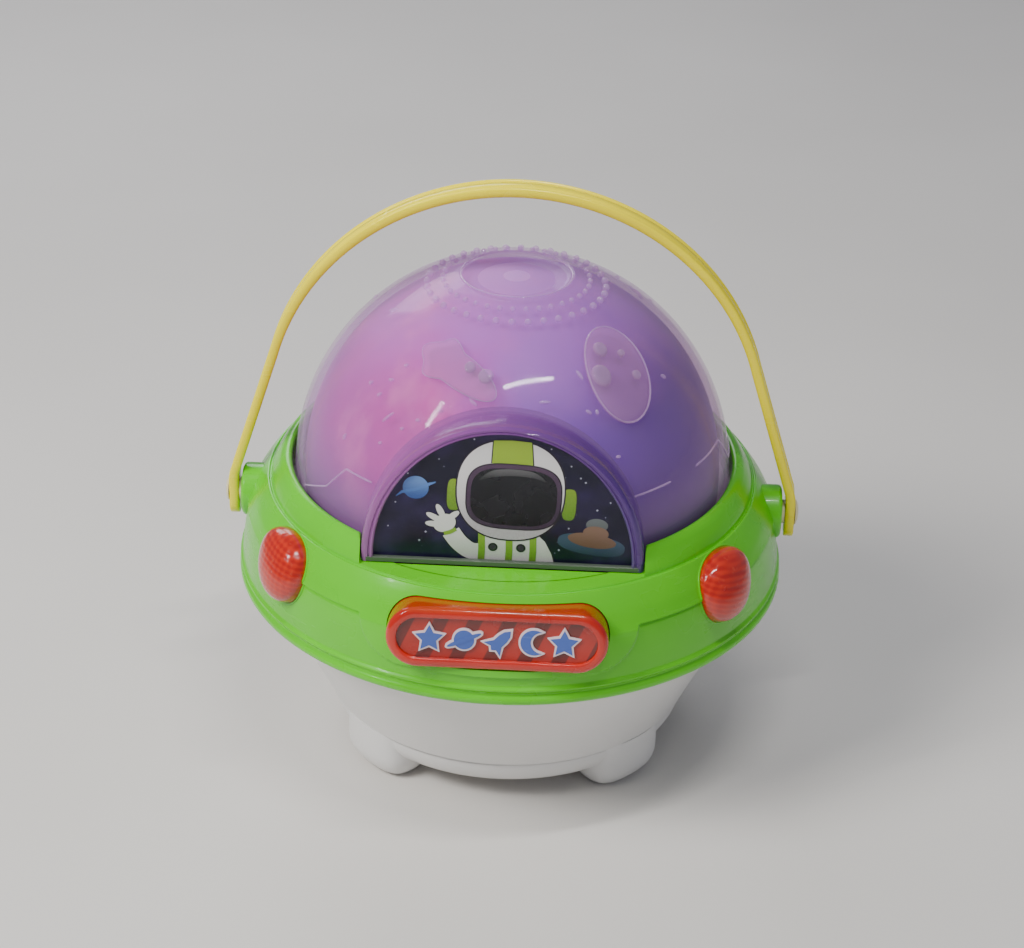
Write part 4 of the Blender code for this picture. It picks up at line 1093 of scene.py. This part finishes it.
green = moulded("green_shell", (0.11, 0.62, 0.001), 0.3, coat=0.2, shift=0.12, wear=0.05, sss=0.08)
white = moulded("white_shell", (0.78, 0.77, 0.75), 0.34, coat=0.15, shift=0.05, wear=0.1)
sill_grey = moulded("sill_grey", (0.085, 0.11, 0.075), 0.22, coat=0.4)
yellow = moulded("yellow_strap", (1.0, 0.83, 0.0), 0.28, coat=0.2, shift=0.08, wear=0.04, sss=0.1)
cream = moulded("cream_pin", (0.80, 0.72, 0.42), 0.3, coat=0.2)
red_body = button_red("button_red")
red_stripes = button_red("button_stripes", stripes=True)
lamp_red = ribbed_red()
clear_dome = clear_plastic("clear_dome", (0.97, 0.88, 0.98), (0.62, 0.40, 0.72), 0.10, 0.62)
# The hood's shade colour is painted shade on its right side.
clear_hood = clear_plastic(
    "clear_hood", (0.86, 0.66, 0.90), (0.46, 0.16, 0.46), 0.4, 0.85, 0.07, shade=(0.13, 0.05, 0.30)
)
clear_lens = clear_plastic("clear_lens", (0.98, 0.98, 1.0), (0.04, 0.04, 0.05), 0.02, 0.2, 0.05, 1.35)
frosted = clear_plastic("frosted_emboss", (0.98, 0.88, 0.97), (0.80, 0.50, 0.78), 0.13, 0.4, 0.3, 1.5)
stud_clear = clear_plastic("stud_clear", (0.94, 0.82, 0.97), (0.86, 0.66, 0.92), 0.18, 1.0, 0.04, 2.4)
milky = inner_dome_colour()
blue = moulded("emblem_blue", (0.05, 0.11, 0.42), 0.25, coat=0.5, wear=0.04)
border = moulded("emblem_white", (0.80, 0.66, 0.68), 0.3, coat=0.3, wear=0.05)
steel = brushed_metal("steel", (0.62, 0.62, 0.64))
board = board_green()
black = moulded("black_plastic", (0.022, 0.022, 0.024), 0.45)
rubber = moulded("rubber", (0.05, 0.05, 0.052), 0.75)
dark_red = moulded("dark_red_plate", (0.22, 0.02, 0.012), 0.35)
sleeve = printed("cell_sleeve", (0.05, 0.08, 0.12), (0.45, 0.46, 0.44), 14, 27, 2, 0.3)

finishes = {
    "green_plastic": green,
    "white_plastic": white,
    "yellow_plastic": yellow,
    "clear_purple": clear_dome,
    "milky_pink": milky,
    "clear_red": red_body,
    "dark_red_plastic": dark_red,
    "cream_plastic": cream,
    "clear_lens": clear_lens,
    "printed_card": black,
    "blue_print": blue,
    "circuit_board": board,
    "steel": steel,
    "black_plastic": black,
    "cell_sleeve": sleeve,
    "rubber": rubber,
}
for entry in frame["record"]["subparts"]:
    node = NODES[entry["node"]]
    node.data.materials.clear()
    node.data.materials.append(finishes[entry["material_slot"]])

# ---------------------------------------------------------------- pieces


def fit(piece, body, slot, *replaced):
    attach(piece, body)
    if replaced:
        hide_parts(*replaced)


fit(saucer_ring(green), "body", "green_plastic", "saucer_ring")
fit(base_shell(white), "body", "white_plastic", "base_bowl")
fit(dome_shell(clear_dome), "body", "clear_purple", "dome_shell")
fit(unite("window_surround", [dormer(clear_hood), sill_bar(sill_grey)]), "body", "clear_purple")
fit(inner_dome(milky), "body", "milky_pink", "dome_liner")
fit(dot_rings(stud_clear), "body", "clear_purple")
turns = np.linspace(0, 2 * math.pi, 96, endpoint=False)
rim = [(DISH_RADIUS * math.sin(a), -DISH_RADIUS * math.cos(a), DISH_HEIGHT) for a in turns]
fit(tube("dish_rim", rim, BEAD_RADIUS, stud_clear, closed=True), "body", "clear_purple")
fit(picture(), "body", "printed_card", "picture_card")
fit(button_cap(red_body, red_stripes), "front_button", "clear_red", "front_button", "button_stripe_plate")
fit(emblem(blue, border), "front_button", "blue_print", "button_emblem")
fit(handle_strap(yellow), "handle", "yellow_plastic", "handle")
for name, side in (("left", -1), ("right", 1)):
    lens = lamp_lens(side, lamp_red)
    lens.name = f"lamp_lens_{name}"
    fit(lens, "body", "clear_red", f"side_lamp_lens_{name}")


def bumps(name, spots, stretch=1.0):
    """Small round bumps on the dome, from (azimuth, elevation, size)."""
    ovals = [(a, e, oval(size, size * stretch)) for a, e, size in spots]
    return [emboss(name, a, e, 0.0, shape, 1.3, stud_clear, 4, 0.7) for a, e, shape in ovals]


def craft(angle):
    """A blunt rocket seen from the side: a long body, wider towards its tail."""
    fins = sum(5.2 * max(0.0, math.cos(2.0 * (angle + lean))) ** 6 for lean in (-2.45, 2.45))
    return oval(22.0, 7.6)(angle) + fins * (1.0 if math.cos(angle) < 0 else 0.0)


craters = [(41.8, 54.7, 3.2), (36.4, 48.1, 4.6), (50.0, 51.7, 1.6), (50.6, 45.1, 2.0)]
planet = [emboss("planet", *PLANET_PLACE, oval(16.0, 24.0), 0.9, frosted)]
planet += bumps("crater", craters, 1.15)
planet.append(dome_line(*PLANET_PLACE, oval(15.6, 23.5), 0.55, 0.42, stud_clear))
fit(unite("embossed_planet", planet), "body", "clear_purple")

rocket = [emboss("rocket", *ROCKET_PLACE, craft, 0.9, frosted)]
rocket += bumps("porthole", [(-15.6, 51.8, 2.6), (-8.6, 50.0, 3.4)])
rocket.append(dome_line(*ROCKET_PLACE, craft, 0.4, 0.3, stud_clear))
fit(unite("embossed_rocket", rocket), "body", "clear_purple")

glints = []
for azimuth, elevation, turn, length in (
    (-38.4, 33.9, 55, 3.6), (-51.6, 39.4, 60, 1.2), (-44.0, 42.6, 20, 1.4), (-45.4, 38.0, 60, 1.4),
    (-21.6, 39.4, 5, 1.6), (-28.0, 35.7, 15, 1.2), (-32.2, 32.5, 20, 1.0), (-37.8, 27.2, 40, 1.0),
    (-51.4, 24.2, 100, 1.5), (12.8, 43.6, -2, 2.6), (27.0, 39.8, -45, 1.6), (29.8, 39.4, 90, 1.2),
    (33.0, 27.5, 0, 1.2), (-11.4, 42.9, -35, 2.4), (27.8, 49.5, -70, 2.6), (62.2, 41.2, -60, 1.4),
    (-41.6, 47.5, 30, 1.2), (-74.6, 56.1, 60, 2.4),
):
    for side in (0.0, 180.0):
        place = (azimuth + side, elevation, math.radians(turn))
        glints.append(emboss("glint", *place, oval(length, 0.75), 0.7, stud_clear, 3, 0.5))
fit(unite("dome_glints", glints), "body", "clear_purple")

seams = []
for path in (
    [(-66, 4), (-53.6, 9.7), (-46.8, 17.2), (-35.6, 17.1)],
    [(60, 17), (76, 17), (84, 8), (100, 8)],
):
    bent = []
    for (a0, e0), (a1, e1) in zip(path, path[1:]):
        for t in np.linspace(0, 1, 9)[:-1]:
            bent.append(tuple(on_dome(a0 + (a1 - a0) * t, e0 + (e1 - e0) * t, 0.05)))
    seams.append(tube("seam", bent, BEAD_RADIUS, stud_clear))
straight = [tuple(on_dome(a, e, 0.05)) for a, e in flow([(35.6, 16.8), (48.2, 17.0)], 8)]
seams.append(tube("seam", straight, BEAD_RADIUS, stud_clear))
fit(unite("dome_seams", seams), "body", "clear_purple")

# ---------------------------------------------------------------- floor, light and camera

corners = [(-4000, -4000, 0), (4000, -4000, 0), (4000, 4000, 0), (-4000, 4000, 0)]
floor = build("floor", corners, [(0, 1, 2, 3)], [], recalculate=False)
cloth = Recipe("pale_floor", Roughness=0.6)
patches = cloth.span(cloth.noise(3.0, 3.0), 0.3, 0.7)
cloth.colour(cloth.mix(patches, (0.70, 0.67, 0.63), (0.74, 0.71, 0.67)))
floor.data.materials.append(cloth.material)


def lamp_at(name, place, aim, size, power, colour=(1.0, 1.0, 1.0), mirrored=True):
    """A soft rectangular light, which can be kept out of reflections."""
    data = bpy.data.lights.new(name, "AREA")
    data.shape = "RECTANGLE"
    data.size, data.size_y = size
    data.energy = power
    data.color = colour
    obj = bpy.data.objects.new(name, data)
    obj.location = place
    obj.rotation_euler = (Vector(aim) - Vector(place)).to_track_quat("-Z", "Y").to_euler()
    obj.visible_glossy = mirrored
    bpy.context.scene.collection.objects.link(obj)


lamp_at("key", (-1.05, -0.7, 1.3), (0, 0, 0.12), (0.7, 0.6), 27.0, (1.0, 0.98, 0.95), False)
lamp_at("top_strip", (0.16, -0.42, 1.34), (0, 0, 0.2), (0.55, 0.04), 6.0)
lamp_at("left_strip", (-0.75, -0.55, 0.95), (0, 0, 0.12), (0.04, 0.3), 2.0)
lamp_at("right_fill", (1.3, -0.9, 0.7), (0, 0, 0.12), (0.8, 0.8), 1.6, (0.86, 0.9, 1.0), False)
lamp_at("back", (-0.5, 1.2, 0.9), (0, 0, 0.16), (0.9, 0.5), 6.0, (0.92, 0.94, 1.0))
world = bpy.data.worlds.new("studio")
world.use_nodes = True
sky = world.node_tree.nodes["Background"].inputs
sky["Color"].default_value = (0.80, 0.85, 1.0, 1.0)
sky["Strength"].default_value = 0.27
bpy.context.scene.world = world

CAMERA_DISTANCE = 1.208
CAMERA_ELEVATION = math.radians(29.6)
CAMERA_YAW = math.radians(2.2)
CAMERA_LIFT = math.radians(0.815)
CAMERA_ROLL = math.radians(1.4)
CAMERA_TARGET = 0.110
FOCAL_LENGTH = 89.97
SENSOR_WIDTH = 36.0
flat = CAMERA_DISTANCE * math.cos(CAMERA_ELEVATION)
height = CAMERA_TARGET + CAMERA_DISTANCE * math.sin(CAMERA_ELEVATION)
eye = Vector((flat * math.sin(CAMERA_YAW), -flat * math.cos(CAMERA_YAW), height))
lens_data = bpy.data.cameras.new("camera")
lens_data.lens = FOCAL_LENGTH
lens_data.sensor_width = SENSOR_WIDTH
camera = bpy.data.objects.new("camera", lens_data)
tilt = math.pi / 2 - CAMERA_ELEVATION + CAMERA_LIFT
look = Matrix.Rotation(CAMERA_YAW, 4, "Z") @ Matrix.Rotation(tilt, 4, "X")
look = look @ Matrix.Rotation(CAMERA_ROLL, 4, "Z")
camera.matrix_world = Matrix.Translation(eye) @ look
bpy.context.scene.collection.objects.link(camera)
bpy.context.scene.camera = camera
